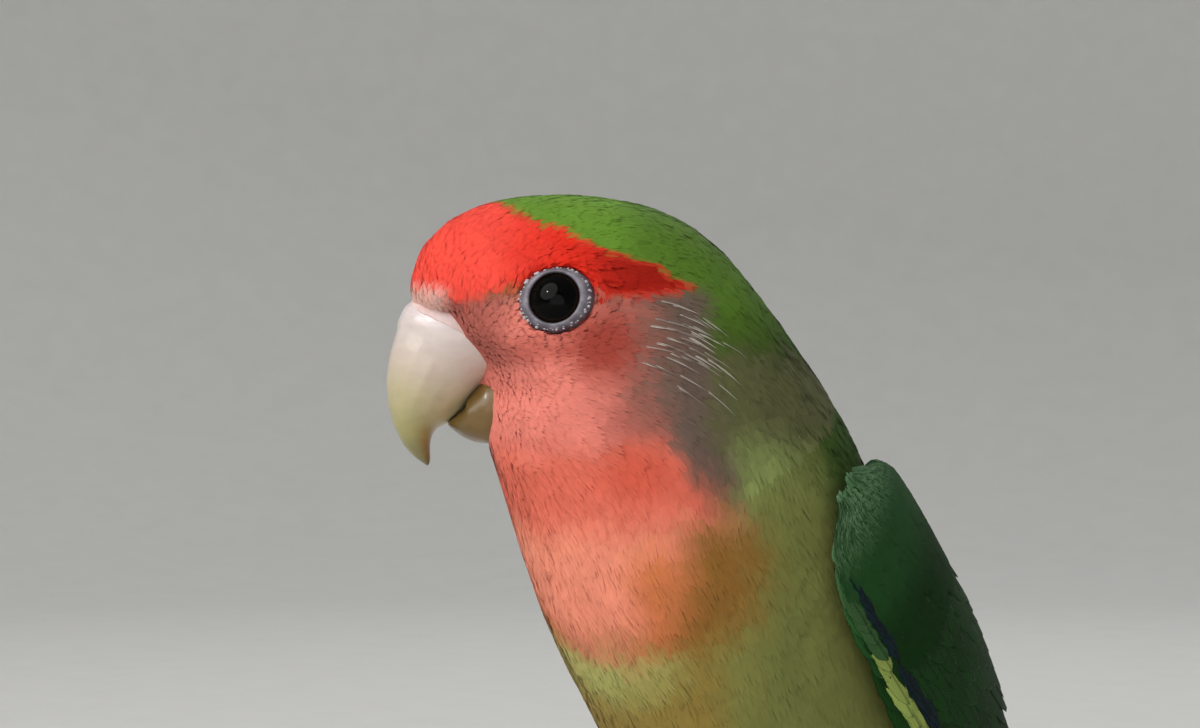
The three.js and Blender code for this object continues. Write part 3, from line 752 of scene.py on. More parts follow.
@dataclass(frozen=True)
class FleshFinish:
    """Bare skin, such as the cere or the lids."""

    name: str
    light: Triple
    deep: Triple
    rough: float = 0.55

    def make(self) -> Material:
        """Builds the material."""
        gloss = {"Coat_Weight": 0.05, "Coat_Roughness": 0.4}
        shader = Shader(self.name, self.rough, Subsurface_Weight=0.2, **gloss)
        shader.under(1.0, 0.5, 0.4)
        place = shader.place()
        pore = shader.noise(place, 1500.0)
        cloud = shader.noise(place, 500.0)
        skin = shader.blend(cloud.step(0.3, 0.75), tone(*self.light), tone(*self.deep))
        shader.feed("Base Color", skin)
        shader.bump(pore * 0.6 + cloud, 0.05 * MM)
        return shader.material


@dataclass(frozen=True)
class LidFinish:
    """Bare blue-grey skin with pale beads and a dark inner rim."""

    name: str = "eyelid_skin"

    def make(self) -> Material:
        """Builds the material."""
        shader = Shader(self.name, 0.5, Coat_Weight=0.15, Coat_Roughness=0.3)
        across, high, bead = shader.parts(shader.attribute("gaze"))
        out = (across * across + high * high).math("SQRT")
        cloud = shader.noise(shader.place(), 620.0).step(0.35, 0.7)
        skin = shader.blend(cloud, tone(84, 78, 88), tone(128, 122, 134))
        skin = shader.blend(out.step(3.1, 3.9) * 0.4, skin, tone(84, 74, 80))
        skin = shader.blend(bead * 0.75, skin, tone(206, 200, 204))
        rim = 1.0 - out.step(2.78, 2.96)
        shader.feed("Base Color", shader.blend(rim * 0.85, skin, tone(44, 40, 46)))
        shader.bump(shader.noise(shader.place(), 1600.0), 0.08 * MM)
        return shader.material


@dataclass(frozen=True)
class EyeFinish:
    """A wet black eye with a thin dark brown iris."""

    name: str = "eye_gloss"

    def make(self) -> Material:
        """Builds the material."""
        wet = {"Coat_Weight": 0.35, "Coat_IOR": 1.3, "Coat_Roughness": 0.02}
        shader = Shader(self.name, 0.2, Specular_IOR_Level=0.0, **wet)
        out, around, _ = shader.parts(shader.attribute("gaze"))
        fibre = (around * 46.0).math("SINE") * 0.3 + shader.noise(shader.place(), 1600.0)
        iris = out.step(2.3, 2.5)
        brown = shader.blend(fibre, tone(14, 9, 7), tone(32, 20, 14))
        shader.feed("Base Color", shader.blend(iris, tone(2, 2, 2), brown))
        return shader.material


@dataclass(frozen=True)
class LegFinish:
    """Grey scaly skin."""

    name: str = "leg_skin"

    def make(self) -> Material:
        """Builds the material."""
        shader = Shader(self.name, 0.5, Specular_IOR_Level=0.4)
        place = shader.place()
        edges = {"feature": "DISTANCE_TO_EDGE"}
        cell = shader.node("ShaderNodeTexVoronoi", edges, {"Vector": place, "Scale": 1500.0})
        scale = cell.step(0.0, 0.14)
        colour = shader.blend(shader.noise(place, 600.0), tone(128, 122, 118), tone(162, 152, 144))
        shader.feed("Base Color", shader.blend(scale, tone(88, 80, 76), colour))
        shader.bump(scale, 0.08 * MM)
        return shader.material


@dataclass(frozen=True)
class ClawFinish:
    """Dark horn, paler at its root."""

    name: str = "claw_horn"

    def make(self) -> Material:
        """Builds the material."""
        shader = Shader(self.name, 0.32, Coat_Weight=0.3, Coat_Roughness=0.15)
        place = shader.place()
        streak = shader.noise(shader.stretched(place, (1.0, 1.0, 5.0)), 900.0)
        shader.feed("Base Color", shader.blend(streak, tone(38, 34, 32), tone(92, 84, 76)))
        shader.bump(streak, 0.05 * MM)
        return shader.material


@dataclass(frozen=True)
class FloorFinish:
    """A plain pale studio floor."""

    name: str = "studio_floor"

    def make(self) -> Material:
        """Builds the material."""
        shader = Shader(self.name, 0.9, Specular_IOR_Level=0.1)
        grain = shader.noise(shader.place(), 60.0)
        shader.feed("Base Color", shader.blend(grain, tone(205, 205, 203), tone(212, 212, 210)))
        return shader.material


class Shape:
    """A mesh in millimetres that becomes a piece of the scene."""

    @staticmethod
    def from_nodes(nodes: dict[str, bpy.types.Object], names: Sequence[str]) -> BMesh:
        """Merged copies of CAD nodes, in millimetres."""
        shape = bmesh.new()
        for name in names:
            shape.from_mesh(nodes[name].data)
        bmesh.ops.remove_doubles(shape, verts=shape.verts, dist=0.002 * MM)
        bmesh.ops.scale(shape, vec=(1 / MM,) * 3, verts=shape.verts)
        return shape

    @staticmethod
    def swell(shape: BMesh, amounts: float | Array) -> None:
        """Moves each vertex out along its normal by an amount."""
        shape.normal_update()
        each = np.broadcast_to(amounts, len(shape.verts))
        moves = [vert.normal * float(amount) for vert, amount in zip(shape.verts, each)]
        for vert, move in zip(shape.verts, moves):
            vert.co += move

    @staticmethod
    def revolve(profile: Sequence[Pair], closed: bool, steps: int) -> BMesh:
        """Turns a profile round the z axis.

        Args:
            profile: Distances out from the axis and along it.
            closed: Whether the last point joins the first.
            steps: Parts of the turn.

        Returns:
            The new shape.
        """
        shape = bmesh.new()
        verts = [shape.verts.new((out, 0, along)) for out, along in profile]
        ends = verts[1:] + verts[:1] if closed else verts[1:]
        edges = [shape.edges.new(pair) for pair in zip(verts, ends)]
        turn = {"axis": (0, 0, 1), "angle": 2 * math.pi, "steps": steps, "use_merge": True}
        bmesh.ops.spin(shape, geom=verts + edges, **turn)
        bmesh.ops.remove_doubles(shape, verts=shape.verts, dist=1e-5)
        return shape

    @staticmethod
    def join(shape: BMesh, other: BMesh) -> None:
        """Adds another shape to a shape, and frees it."""
        mesh = bpy.data.meshes.new("joined")
        other.to_mesh(mesh)
        other.free()
        shape.from_mesh(mesh)
        bpy.data.meshes.remove(mesh)

    @staticmethod
    def remeshed(shape: BMesh, voxel: float, rounds: int) -> BMesh:
        """One even closed surface round a shape.

        Args:
            shape: The shape, which is freed.
            voxel: The new faces' size.
            rounds: How often it is smoothed.

        Returns:
            The new shape.
        """
        mesh = bpy.data.meshes.new("rough")
        shape.to_mesh(mesh)
        shape.free()
        rough = bpy.data.objects.new("rough", mesh)
        bpy.context.scene.collection.objects.link(rough)
        modifier = rough.modifiers.new("even", "REMESH")
        modifier.mode = "VOXEL"
        modifier.voxel_size = voxel
        bpy.context.view_layer.update()
        even = rough.evaluated_get(bpy.context.evaluated_depsgraph_get()).to_mesh()
        made = bmesh.new()
        made.from_mesh(even)
        bpy.data.objects.remove(rough)
        bpy.data.meshes.remove(mesh)
        axes = {f"use_axis_{axis}": True for axis in "xyz"}
        for _ in range(rounds):
            bmesh.ops.smooth_vert(made, verts=made.verts, factor=0.5, **axes)
        made.normal_update()
        return made

    @staticmethod
    def points(shape: BMesh) -> Array:
        """The vertices' places."""
        return np.array([vert.co for vert in shape.verts])

    @staticmethod
    def mesh(shape: BMesh, name: str) -> Mesh:
        """A smooth-shaded mesh in metres, with the shape freed."""
        bmesh.ops.scale(shape, vec=(MM,) * 3, verts=shape.verts)
        bmesh.ops.recalc_face_normals(shape, faces=shape.faces)
        mesh = bpy.data.meshes.new(name)
        shape.to_mesh(mesh)
        shape.free()
        mesh.polygons.foreach_set("use_smooth", np.ones(len(mesh.polygons), bool))
        return mesh

    @staticmethod
    def mark(mesh: Mesh, name: str, values: Array) -> None:
        """Writes one vector for each vertex."""
        layer = mesh.attributes.new(name, "FLOAT_VECTOR", "POINT")
        layer.data.foreach_set("vector", np.asarray(values, np.float32).ravel())


@dataclass
class Workshop:
    """What every sub-assembly needs: the CAD nodes and the way a piece is put in the scene."""

    nodes: dict[str, bpy.types.Object]
    stance: Stance
    pieces: int = 0

    def add(
        self, mesh: Mesh, material: Material, slot: str, replaced: Sequence[str] = ()
    ) -> None:
        """Puts a mesh in the scene as a piece of the bird.

        Args:
            mesh: The mesh, in metres.
            material: Its finish.
            slot: A material slot's name, which is not used.
            replaced: The CAD nodes that it stands for.
        """
        piece = bpy.data.objects.new(mesh.name, mesh)
        bpy.context.scene.collection.objects.link(piece)
        mesh.materials.append(material)
        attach(piece, "root")
        if replaced:
            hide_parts(*replaced)
        self.pieces += 1
        log.info("%s: %d faces", piece.name, len(mesh.polygons))


class Solid:
    """A closed solid that can say how far away it is and whether it holds a place."""

    PROBE = Vector((0.31, 0.52, 0.79)).normalized()
    PAST = 1e-3

    def __init__(self, shape: BMesh) -> None:
        """Reads a shape."""
        self.tree = BVHTree.FromBMesh(shape)

    def gap(self, point: Array) -> float:
        """The distance to the surface."""
        return self.tree.find_nearest(Vector(point))[3]

    def holds(self, point: Array) -> bool:
        """Whether a point is inside, by how often a ray from it crosses the surface."""
        inside = False
        place = self.tree.ray_cast(Vector(point), self.PROBE)[0]
        while place is not None:
            inside = not inside
            place = self.tree.ray_cast(place + self.PROBE * self.PAST, self.PROBE)[0]
        return inside

    def nearest(self, points: Array) -> tuple[Array, Array]:
        """The closest places on the surface, and the normals there."""
        found = [self.tree.find_nearest(Vector(point))[:2] for point in points]
        return np.array([place for place, _ in found]), np.array([normal for _, normal in found])

    def leaves(self, start: Array, way: Array) -> float:
        """How far a ray from inside goes before it leaves, or 0 if it starts outside."""
        place, normal, _, gap = self.tree.ray_cast(Vector(start), Vector(way))
        return gap if place is not None and normal.dot(Vector(way)) > 0 else 0.0


@dataclass
class Flesh:
    """One skin for head, neck, torso, rump and thighs, under the coat.

    It is drawn in to meet the bill along face_line, where horn_side is the horn's half width, each by the
    height in the head. Behind the line it widens by bank, and round_over softens the bend.
    """

    shop: Workshop
    markings: Markings
    bills: list[Solid]
    eyes: list["Eye"]
    voxel: float = 0.6
    closing: float = 0.22
    smoothing: int = 7
    bank: float = 1.6
    round_over: float = 0.8
    face_line: Stations = (
        (-16, 9.4), (-13.3, 9.9), (-6.4, 10.1), (-3.1, 12.8), (-0.33, 14.7), (0.8, 18.2), (2, 21),
    )
    horn_side: Stations = (
        (-16, 3), (-13.3, 3.9), (-11, 4.3), (-8.8, 3.7), (-7, 4.6), (-3.1, 5.8), (-0.3, 5.4), (2, 12),
    )
    gape_sink: float = 1.4
    bill_middle: Pair = (13, -6)
    bill_near: float = 24.0
    by_bill: Stations = ((0, 0.14), (2, 0.26), (12, 0.46), (30, 1.0), (60, 1.45))
    by_eye: Stations = ((4.0, 0.14), (6.6, 0.6), (9, 3))
    by_leg: Stations = ((8, 0.3), (18, 1.0), (26, 3))
    names: tuple[str, ...] = ("head", "neck", "torso", "rump", "thigh_left", "thigh_right")

    def build(self) -> None:
        """Makes the skin and keeps what the coat stands on."""
        shape = Shape.from_nodes(self.shop.nodes, self.names)
        Shape.swell(shape, self.closing)
        for eye in self.eyes:
            eye.collar(shape)
        shape = Shape.remeshed(shape, self.voxel, self.smoothing)
        self.outer = Solid(shape)
        points = Shape.points(shape)
        Shape.swell(shape, -self.coat_depth(points) - self.closing * 0.6)
        for vert, move in zip(shape.verts, self.draw_in(points)):
            vert.co += Vector(move)
        bmesh.ops.triangulate(shape, faces=shape.faces)
        shape.normal_update()
        self.inner = Solid(shape)
        self.places = Shape.points(shape)
        self.corners = np.array([[vert.index for vert in face.verts] for face in shape.faces])
        self.normals = np.array([vert.normal for vert in shape.verts])
        tints = self.markings.paint(self.places)
        mesh = Shape.mesh(shape, "skin")
        Shape.mark(mesh, "tint", tints)
        self.shop.add(mesh, UnderFinish().make(), "face_plumage", self.names)

    def from_bill(self, points: Array) -> Array:
        """The distance from the bill's surface at each place, estimated where that is far away."""
        far = np.linalg.norm(points - self.shop.stance.in_head(*self.bill_middle), axis=1)
        for i in np.flatnonzero(far < self.bill_near):
            far[i] = min(solid.gap(points[i]) for solid in self.bills)
        return np.where(far > self.bill_near, far - 10, far)

    def draw_in(self, points: Array) -> Array:
        """The moves towards the middle that bring the face down to the horn along its line."""
        stance = self.shop.stance
        forward, up = self.markings.profile(points)
        aside = (points - stance.head) @ stance.left
        ahead = forward - along_line(up, self.face_line)
        over = np.abs(aside) - along_line(up, self.horn_side) - self.bank * np.maximum(-ahead, 0)
        soft = self.round_over
        sink = np.where(over > soft, over, np.maximum(over + soft, 0) ** 2 / (4 * soft))
        sink = sink * ease(-17, -13, up) + self.gape_sink * ease(0, 1.2, ahead) * ease(1.6, 0.4, up)
        sink = sink * ease(-9, -7, ahead) * ease(40, 30, forward - up)
        return np.outer(-np.sign(aside) * np.minimum(sink, np.abs(aside)), stance.left)

    def coat_depth(self, points: Array) -> Array:
        """How deep the coat lies over the skin at each place."""
        deep = along_line(self.from_bill(points), self.by_bill)
        for eye in self.eyes:
            deep = np.minimum(deep, along_line(eye.around(points), self.by_eye))
        for side in SIDES:
            leg = np.linalg.norm(points - centre_of(f"shank_{side}"), axis=1)
            deep = np.minimum(deep, along_line(leg, self.by_leg))
        return deep


Paint = Callable[[Array], Array]


@dataclass(frozen=True)
class Tufts:
    """Small soft feathers, each a fan of tapered blades.

    The fan is gathered at its root, its blades overlap, and its edges droop by a share of its width. Its
    shading leans by the share soft towards the body's, and patch is its size on the bake map.
    """

    blades: int
    stations: tuple[float, ...] = (0.0, 0.36, 0.72, 1.0)
    widths: tuple[float, ...] = (0.7, 1.0, 0.86, 0.0)
    gathered: float = 0.42
    overlap: float = 1.7
    droop: float = 0.16
    soft: float = 0.75
    patch: float = 0.003

    def mesh(
        self, name: str, bones: Array, normals: Array, widths: Array, paint: Paint, homes: Array, seed: int
    ) -> Mesh:
        """Joins all tufts of a piece in one mesh.

        Args:
            name: The mesh's name.
            bones: Root, middle and tip of each tuft, as tufts x 3 x 3, in millimetres.
            normals: The way out of the body at each tuft.
            widths: Half of each tuft's width.
            paint: Gives the colour at a place.
            homes: Each tuft's place on the unwrap of the skin.
            seed: Which draw varies the blades.

        Returns:
            The mesh, in metres.
        """
        draw = np.random.default_rng(SEED + seed)
        count, fan, rows = len(bones), self.blades, len(self.stations)
        share = np.array(self.stations)
        wide = widths[:, None, None]
        off = np.linspace(-1, 1, fan)[:, None] + draw.normal(0, 0.08, (count, fan, 1))
        reach = np.sqrt(np.clip(1 - 0.62 * off**2, 0.1, 1)) * draw.uniform(0.84, 1.08, (count, fan, 1))
        along = reach * share
        curve = [2 * (along - 0.5) * (along - 1), 4 * along * (1 - along), 2 * along * (along - 0.5)]
        weight = np.stack(curve, -1)
        middle = np.einsum("cfrk,ckd->cfrd", weight, bones)
        run = unit(bones[:, 2] - bones[:, 0])
        side = unit(np.cross(run, normals))
        spread = off * (self.gathered + (1 - self.gathered) * along**0.8) * wide
        middle += side[:, None, None, :] * spread[..., None]
        crown = -self.droop * off**2 * wide * along
        lift = draw.normal(0, 0.008, (count, fan, 1)) * along * 2
        middle += normals[:, None, None, :] * (crown + lift)[..., None]
        half = np.array(self.widths) * wide * self.overlap / fan
        twist = draw.uniform(-0.08, 0.08, (count, fan, 1, 1))
        edge = side[:, None, None, :] + normals[:, None, None, :] * twist
        out = edge * half[..., None]
        corners = 2 * (rows - 1) + 1
        verts = np.empty((count, fan, corners, 3))
        verts[:, :, 0:-1:2] = (middle - out)[:, :, :-1]
        verts[:, :, 1:-1:2] = (middle + out)[:, :, :-1]
        verts[:, :, -1] = middle[:, :, -1]
        faces = []
        for row in range(rows - 2):
            start = 2 * row
            faces += [(start, start + 1, start + 3), (start, start + 3, start + 2)]
        faces.append((corners - 3, corners - 2, corners - 1))
        blade = np.array(faces)
        starts = np.arange(count * fan)[:, None, None] * corners
        triangles = (blade[None] + starts).reshape(-1, 3)
        level = np.append(np.repeat(share[:-1], 2), 1.0) * reach
        chance = draw.uniform(0, 1, (count, 1, 1)) * 0.7 + draw.uniform(0, 0.3, (count, fan, 1))
        strand = np.stack(np.broadcast_arrays(level, chance, off), -1)
        inside = np.stack(np.broadcast_arrays(off * 0.4, level - 0.5), -1)
        uv = homes[:, None, None, :] + inside * self.patch
        shown = middle[:, :, -1] * 0.9 + middle[:, :, 0] * 0.1
        tints = paint(shown.reshape(-1, 3)).repeat(corners, 0)
        mesh = mesh_of(name, verts.reshape(-1, 3) * MM, triangles, uv.reshape(-1, 2))
        own = np.empty(len(mesh.vertices) * 3, np.float32)
        mesh.vertices.foreach_get("normal", own)
        own = own.reshape(-1, 3)
        body = np.repeat(normals, fan * corners, 0)
        own *= np.sign((own * body).sum(1) + 1e-6)[:, None]
        mesh.normals_split_custom_set_from_vertices(unit(own * (1 - self.soft) + body * self.soft))
        Shape.mark(mesh, "tint", tints)
        Shape.mark(mesh, "strand", strand)
        return mesh


def mesh_of(name: str, verts: Array, faces: Array, uv: Array) -> Mesh:
    """A joined mesh from arrays.

    Args:
        name: Its name.
        verts: Its vertices, in metres.
        faces: Their numbers in each face, all faces with the same count of corners.
        uv: Each vertex's place on the OFBake map.

    Returns:
        The mesh, smooth-shaded.
    """
    mesh = bpy.data.meshes.new(name)
    mesh.vertices.add(len(verts))
    mesh.vertices.foreach_set("co", np.asarray(verts, np.float32).ravel())
    mesh.loops.add(faces.size)
    mesh.loops.foreach_set("vertex_index", np.asarray(faces, np.int32).ravel())
    mesh.polygons.add(len(faces))
    mesh.polygons.foreach_set("loop_start", np.arange(len(faces), dtype=np.int32) * faces.shape[1])
    mesh.polygons.foreach_set("use_smooth", np.ones(len(faces), bool))
    mesh.update(calc_edges=True)
    layer = mesh.uv_layers.new(name="OFBake")
    layer.data.foreach_set("uv", np.asarray(uv[faces.ravel()], np.float32).ravel())
    return mesh


class Zone(Enum):
    """Parts of the coat, each with the slot and the count of blades of its tufts."""

    FACE = ("face_plumage", 8)
    NECK = ("neck_plumage", 9)
    BREAST = ("breast_plumage", 10)
    RUMP = ("rump_plumage", 10)
    THIGH = ("thigh_plumage", 9)

    @property
    def slot(self) -> str:
        """The name of its material slot."""
        return self.value[0]

    @property
    def blades(self) -> int:
        """Blades in a tuft."""
        return self.value[1]


@dataclass
class Coat:
    """The small feathers over head, neck, body and thighs.

    They stand further apart and grow longer with the distance from the bill's root. Their places are
    thinned out of more darts than there will be tufts.
    """

    shop: Workshop
    flesh: Flesh
    markings: Markings
    spine: Spine
    wings: list[Solid]
    apart: Stations = ((8, 0.42), (14, 0.5), (26, 0.64), (45, 0.86), (70, 1.0))
    lengths: Stations = ((8, 1.4), (12, 2.1), (22, 3.4), (34, 4.8), (50, 6.0), (80, 7.2))
    steps: tuple[float, ...] = (0.42, 0.52, 0.66, 0.82, 1.0)
    darts: float = 3.0
    slender: float = 0.29
    face_reach: float = 27.0
    neck_knot: float = 4.2
    rump_knot: float = 6.5
    piece_limit: int = 185_000
    bill_root: Pair = (13.0, -5.0)
    coarse: float = 2.0
    streak_middle: Pair = (-9.8, -3.6)
    streak_reach: Pair = (4.4, 5.0)

    def build(self) -> None:
        """Scatters, shapes and places all tufts."""
        roots, normals = self.scatter()
        self.finish = DownFinish().make()
        thigh = self.on_thigh(roots)
        knot, around, _ = self.spine.unwrap(roots)
        face = self.from_bill_root(roots) < self.face_reach
        neck, rump = knot < self.neck_knot, knot >= self.rump_knot
        zones = {
            Zone.FACE: face & ~thigh,
            Zone.NECK: ~face & neck & ~thigh,
            Zone.BREAST: ~face & ~neck & ~rump & ~thigh,
            Zone.RUMP: rump & ~thigh,
            Zone.THIGH: thigh,
        }
        homes = np.stack([0.44 + 0.4 * around, 0.03 + 0.94 * knot / 9], 1)
        homes[thigh, 0] = 0.9 + 0.08 * np.clip(np.sin(around[thigh] * math.pi), -1, 1)
        for zone, chosen in zones.items():
            self.dress(zone, roots[chosen], normals[chosen], homes[chosen])
        self.streaks(roots, normals, homes)

    def on_thigh(self, points: Array) -> Array:
        """Which points are on a thigh, clear of the belly."""
        bird = points - self.shop.stance.origin
        return (points[:, 2] < 34.4) & (np.abs(bird[:, 0]) > 3) & (bird[:, 1] < 24)

    def from_bill_root(self, points: Array) -> Array:
        """How far points lie from the bill's root."""
        return np.linalg.norm(points - self.shop.stance.in_head(*self.bill_root), axis=1)

    @property
    def thinner(self) -> float:
        return 1.0

    def spacing(self, points: Array) -> Array:
        """How far apart tufts stand."""
        return along_line(self.from_bill_root(points), self.apart) * self.thinner

    def scatter(self) -> tuple[Array, Array]:
        """Places for tufts, evenly apart, and the way out of the body there."""
        draw = np.random.default_rng(SEED)
        flesh = self.flesh
        corners = flesh.places[flesh.corners]
        first, second = corners[:, 1] - corners[:, 0], corners[:, 2] - corners[:, 0]
        areas = np.linalg.norm(np.cross(first, second), axis=1) / 2
        wanted = areas / self.spacing(corners.mean(1)) ** 2
        count = int(wanted.sum() * self.darts)
        picked = draw.choice(len(areas), count, p=wanted / wanted.sum())
        first, second = draw.random((2, count))
        fold = first + second > 1
        first[fold], second[fold] = 1 - first[fold], 1 - second[fold]
        mix = np.stack([1 - first - second, first, second], 1)[:, :, None]
        places = (corners[picked] * mix).sum(1)
        normals = unit((flesh.normals[flesh.corners[picked]] * mix).sum(1))
        steps = np.array(self.steps) * self.thinner
        kinds = np.abs(self.spacing(places)[:, None] - steps[None]).argmin(1)
        chosen = np.concatenate(
            [self.thinned(places, np.flatnonzero(kinds == kind), gap) for kind, gap in enumerate(steps)]
        )
        places, normals = places[chosen], normals[chosen]
        solids = [*self.flesh.bills, *self.wings]
        clear = np.array([not any(solid.holds(place) for solid in solids) for place in places])
        for eye in self.flesh.eyes:
            clear &= eye.around(places) > eye.bare
        clear &= self.flesh.from_bill(places) > 0.08
        return places[clear], normals[clear]

    @staticmethod
    def thinned(places: Array, chosen: Array, gap: float) -> Array:
        """Drops the places that come too close to an earlier one.

        Args:
            places: All places.
            chosen: The numbers of those to thin.
            gap: The least distance.

        Returns:
            The numbers of those that are kept.
        """
        taken: dict[tuple[int, int, int], list[Triple]] = {}
        kept = []
        around = list(itertools.product((-1, 0, 1), repeat=3))
        for number in chosen:
            x, y, z = places[number].tolist()
            i, j, k = int(x // gap), int(y // gap), int(z // gap)
            near = [other for a, b, c in around for other in taken.get((i + a, j + b, k + c), ())]
            if all((x - u) ** 2 + (y - v) ** 2 + (z - w) ** 2 > gap * gap for u, v, w in near):
                taken.setdefault((i, j, k), []).append((x, y, z))
                kept.append(number)
        return np.array(kept, int)

    def lie(self, points: Array, normals: Array) -> Array:
        """The way feathers point: away from the bill, round the eyes, then down the body."""
        away = points - self.shop.stance.in_head(*self.bill_root)
        station = self.spine.nearest(points)
        share = ease(16, 40, self.from_bill_root(points))[:, None]
        way = unit(away) * (1 - share) + self.spine.ways[station] * share
        way[self.on_thigh(points)] = unit(np.array([0, 0.25, -1.0]))
        way = way + np.stack([wander(points, 7, 31 + axis) for axis in range(3)], 1) * 0.14
        for eye in self.flesh.eyes:
            way = eye.parted(points, way)
        return unit(way - normals * (way * normals).sum(1)[:, None])

    def dress(self, zone: Zone, roots: Array, normals: Array, homes: Array) -> None:
        """Makes the pieces of one zone.

        Args:
            zone: The zone.
            roots: The tufts' roots.
            normals: The way out at each.
            homes: Their places on the unwrap.
        """
        if not len(roots):
            return
        tufts = Tufts(zone.blades)
        limit = self.piece_limit // (zone.blades * (2 * (len(tufts.stations) - 2) + 1))
        parts = math.ceil(len(roots) / limit)
        order = np.argsort(homes[:, 1], kind="stable")
        for part, chosen in enumerate(np.array_split(order, parts)):
            out, home = normals[chosen], homes[chosen]
            bones, widths = self.bones(roots[chosen], out)
            name = f"coat_{zone.name.lower()}_{part + 1}"
            made = tufts.mesh(name, bones, out, widths, self.markings.paint, home, part)
            self.shop.add(made, self.finish, zone.slot)

    def streaks(self, roots: Array, normals: Array, homes: Array) -> None:
        """Adds the few long pale strands behind the cheek."""
        draw = np.random.default_rng(SEED + 9)
        forward, up = self.markings.profile(roots)
        (ahead, high), (wide, tall) = self.streak_middle, self.streak_reach
        near = ease(1.3, 0.4, np.hypot((forward - ahead) / wide, (up - high) / tall))
        chosen = np.flatnonzero(draw.random(len(roots)) < near * 0.6)
        bones, _ = self.bones(roots[chosen], normals[chosen], 1.4)
        bones[:, 1:] += normals[chosen][:, None] * 0.14
        tufts = Tufts(3)

        def pale(points: Array) -> Array:
            """The coat's colour, made paler by a chance of its own for each strand."""
            tints = self.markings.paint(points)
            share = draw.uniform(0.1, 0.68, (len(points), 1)) ** 1.4
            return tints + (Tint.STREAK.linear - tints) * share

        widths = np.full(len(chosen), 0.1)
        made = tufts.mesh("coat_streaks", bones, normals[chosen], widths, pale, homes[chosen], 90)
        self.shop.add(made, self.finish, "face_plumage")

    def bones(self, roots: Array, normals: Array, longer: float = 1.0) -> tuple[Array, Array]:
        """Root, middle and tip of each tuft, and half of its width."""
        draw = np.random.default_rng(SEED + 7 + len(roots))
        long = along_line(self.from_bill_root(roots), self.lengths)
        for eye in self.flesh.eyes:
            long = long * along_line(eye.around(roots), [(4.0, 0.42), (8, 1)])
        long = long * draw.uniform(0.85, 1.15, len(roots)) * longer
        deep = np.maximum(self.flesh.coat_depth(roots), 0.2)
        ways = self.lie(roots, normals)
        ruffle = draw.normal(0, 0.02, len(roots)) + wander(roots, 11, 3) * 0.04
        line = [roots + normals * (deep * 0.34 - 0.12)[:, None]]
        for share, level in ((0.5, 0.78), (1.0, 0.8)):
            places, outward = self.flesh.inner.nearest(roots + ways * (long * share)[:, None])
            line.append(self.over_wings(places + outward * (deep * (level + ruffle))[:, None], share))
        return np.stack(line, 1), long * self.slender

    def over_wings(self, points: Array, share: float) -> Array:
        """Lifts points that have run into a wing onto its surface."""
        for wing in self.wings:
            for i, point in enumerate(points):
                if wing.gap(point) < 2.5 and wing.holds(point):
                    place, normal = wing.tree.find_nearest(Vector(point))[:2]
                    points[i] = np.array(place + normal * 0.45 * share)
        return points


@dataclass(frozen=True)
class Look:
    """The colours of a firm feather's outer web, inner web and end, and how its root and tip are raised."""

    outer: Array
    inner: Array
    end: Array
    raised: Pair = (-0.8, 0.12)
    long: bool = True

    @classmethod
    def small(cls, tint: Array, raised: Pair) -> "Look":
        """A short feather of one colour."""
        return cls(tint, tint, tint, raised, False)


@dataclass(frozen=True)
class Tier:
    """A row of firm feathers, from its first feather to its last.

    Roots and tips are given along the limb, and across it as that limb's surface measures it.
    """

    count: int
    roots: tuple[Pair, Pair]
    tips: tuple[Pair, Pair]
    half: float
    look: Look


WING, PRIMARY, QUILL = lights(Tint.WING, Tint.PRIMARY, Tint.QUILL_DARK)
SHORT_DARK = Look(WING, PRIMARY, WING, long=False)


class Vane:
    """The grid that every firm feather is shaped from.

    LONG and SHORT give its width by the share of its length. Its middle stands CAMBER over its edges, and
    its shaft SHAFT over that.
    """

    LONG = ((0.0, 0.5), (0.12, 0.8), (0.4, 1.0), (0.8, 0.9), (0.93, 0.66), (1.0, 0.12))
    SHORT = ((0.0, 0.6), (0.2, 0.85), (0.5, 1.0), (0.76, 0.92), (0.92, 0.58), (1.0, 0.12))
    THICK = 0.1
    CAMBER = 0.12
    SHAFT = 0.07
    SHAFT_HALF = 0.09

    def __init__(self, rows: int, columns: int) -> None:
        """Sets up a closed grid of a top and an under side, finer towards the tip and the edges.

        Args:
            rows: Stations along the feather.
            columns: Points across it.
        """
        self.share = 1 - (1 - np.linspace(0, 1, rows)) ** 1.25
        even = np.linspace(-1, 1, columns)
        self.across = np.sin(even * math.pi / 2) * 0.4 + even * 0.6
        top = np.arange(rows * columns).reshape(rows, columns)
        below = top.copy()
        inner = top[1:-1, 1:-1]
        below[1:-1, 1:-1] = rows * columns + np.arange(inner.size).reshape(inner.shape)
        self.inner = inner.ravel()
        quads = []
        for sheet, turned in ((top, False), (below, True)):
            corners = [sheet[:-1, :-1], sheet[:-1, 1:], sheet[1:, 1:], sheet[1:, :-1]]
            if turned:
                corners.reverse()
            quads.append(np.stack([corner.ravel() for corner in corners], 1))
        self.faces = np.concatenate(quads)
        self.grid = np.stack(np.meshgrid(self.share, self.across, indexing="ij"), -1).reshape(-1, 2)

    def width(self, long: bool) -> Array:
        """Half the width at each grid point, as a share of the widest."""
        return along_line(self.grid[:, 0], self.LONG if long else self.SHORT)


Surface = Callable[[Array, Array, Array], Array]


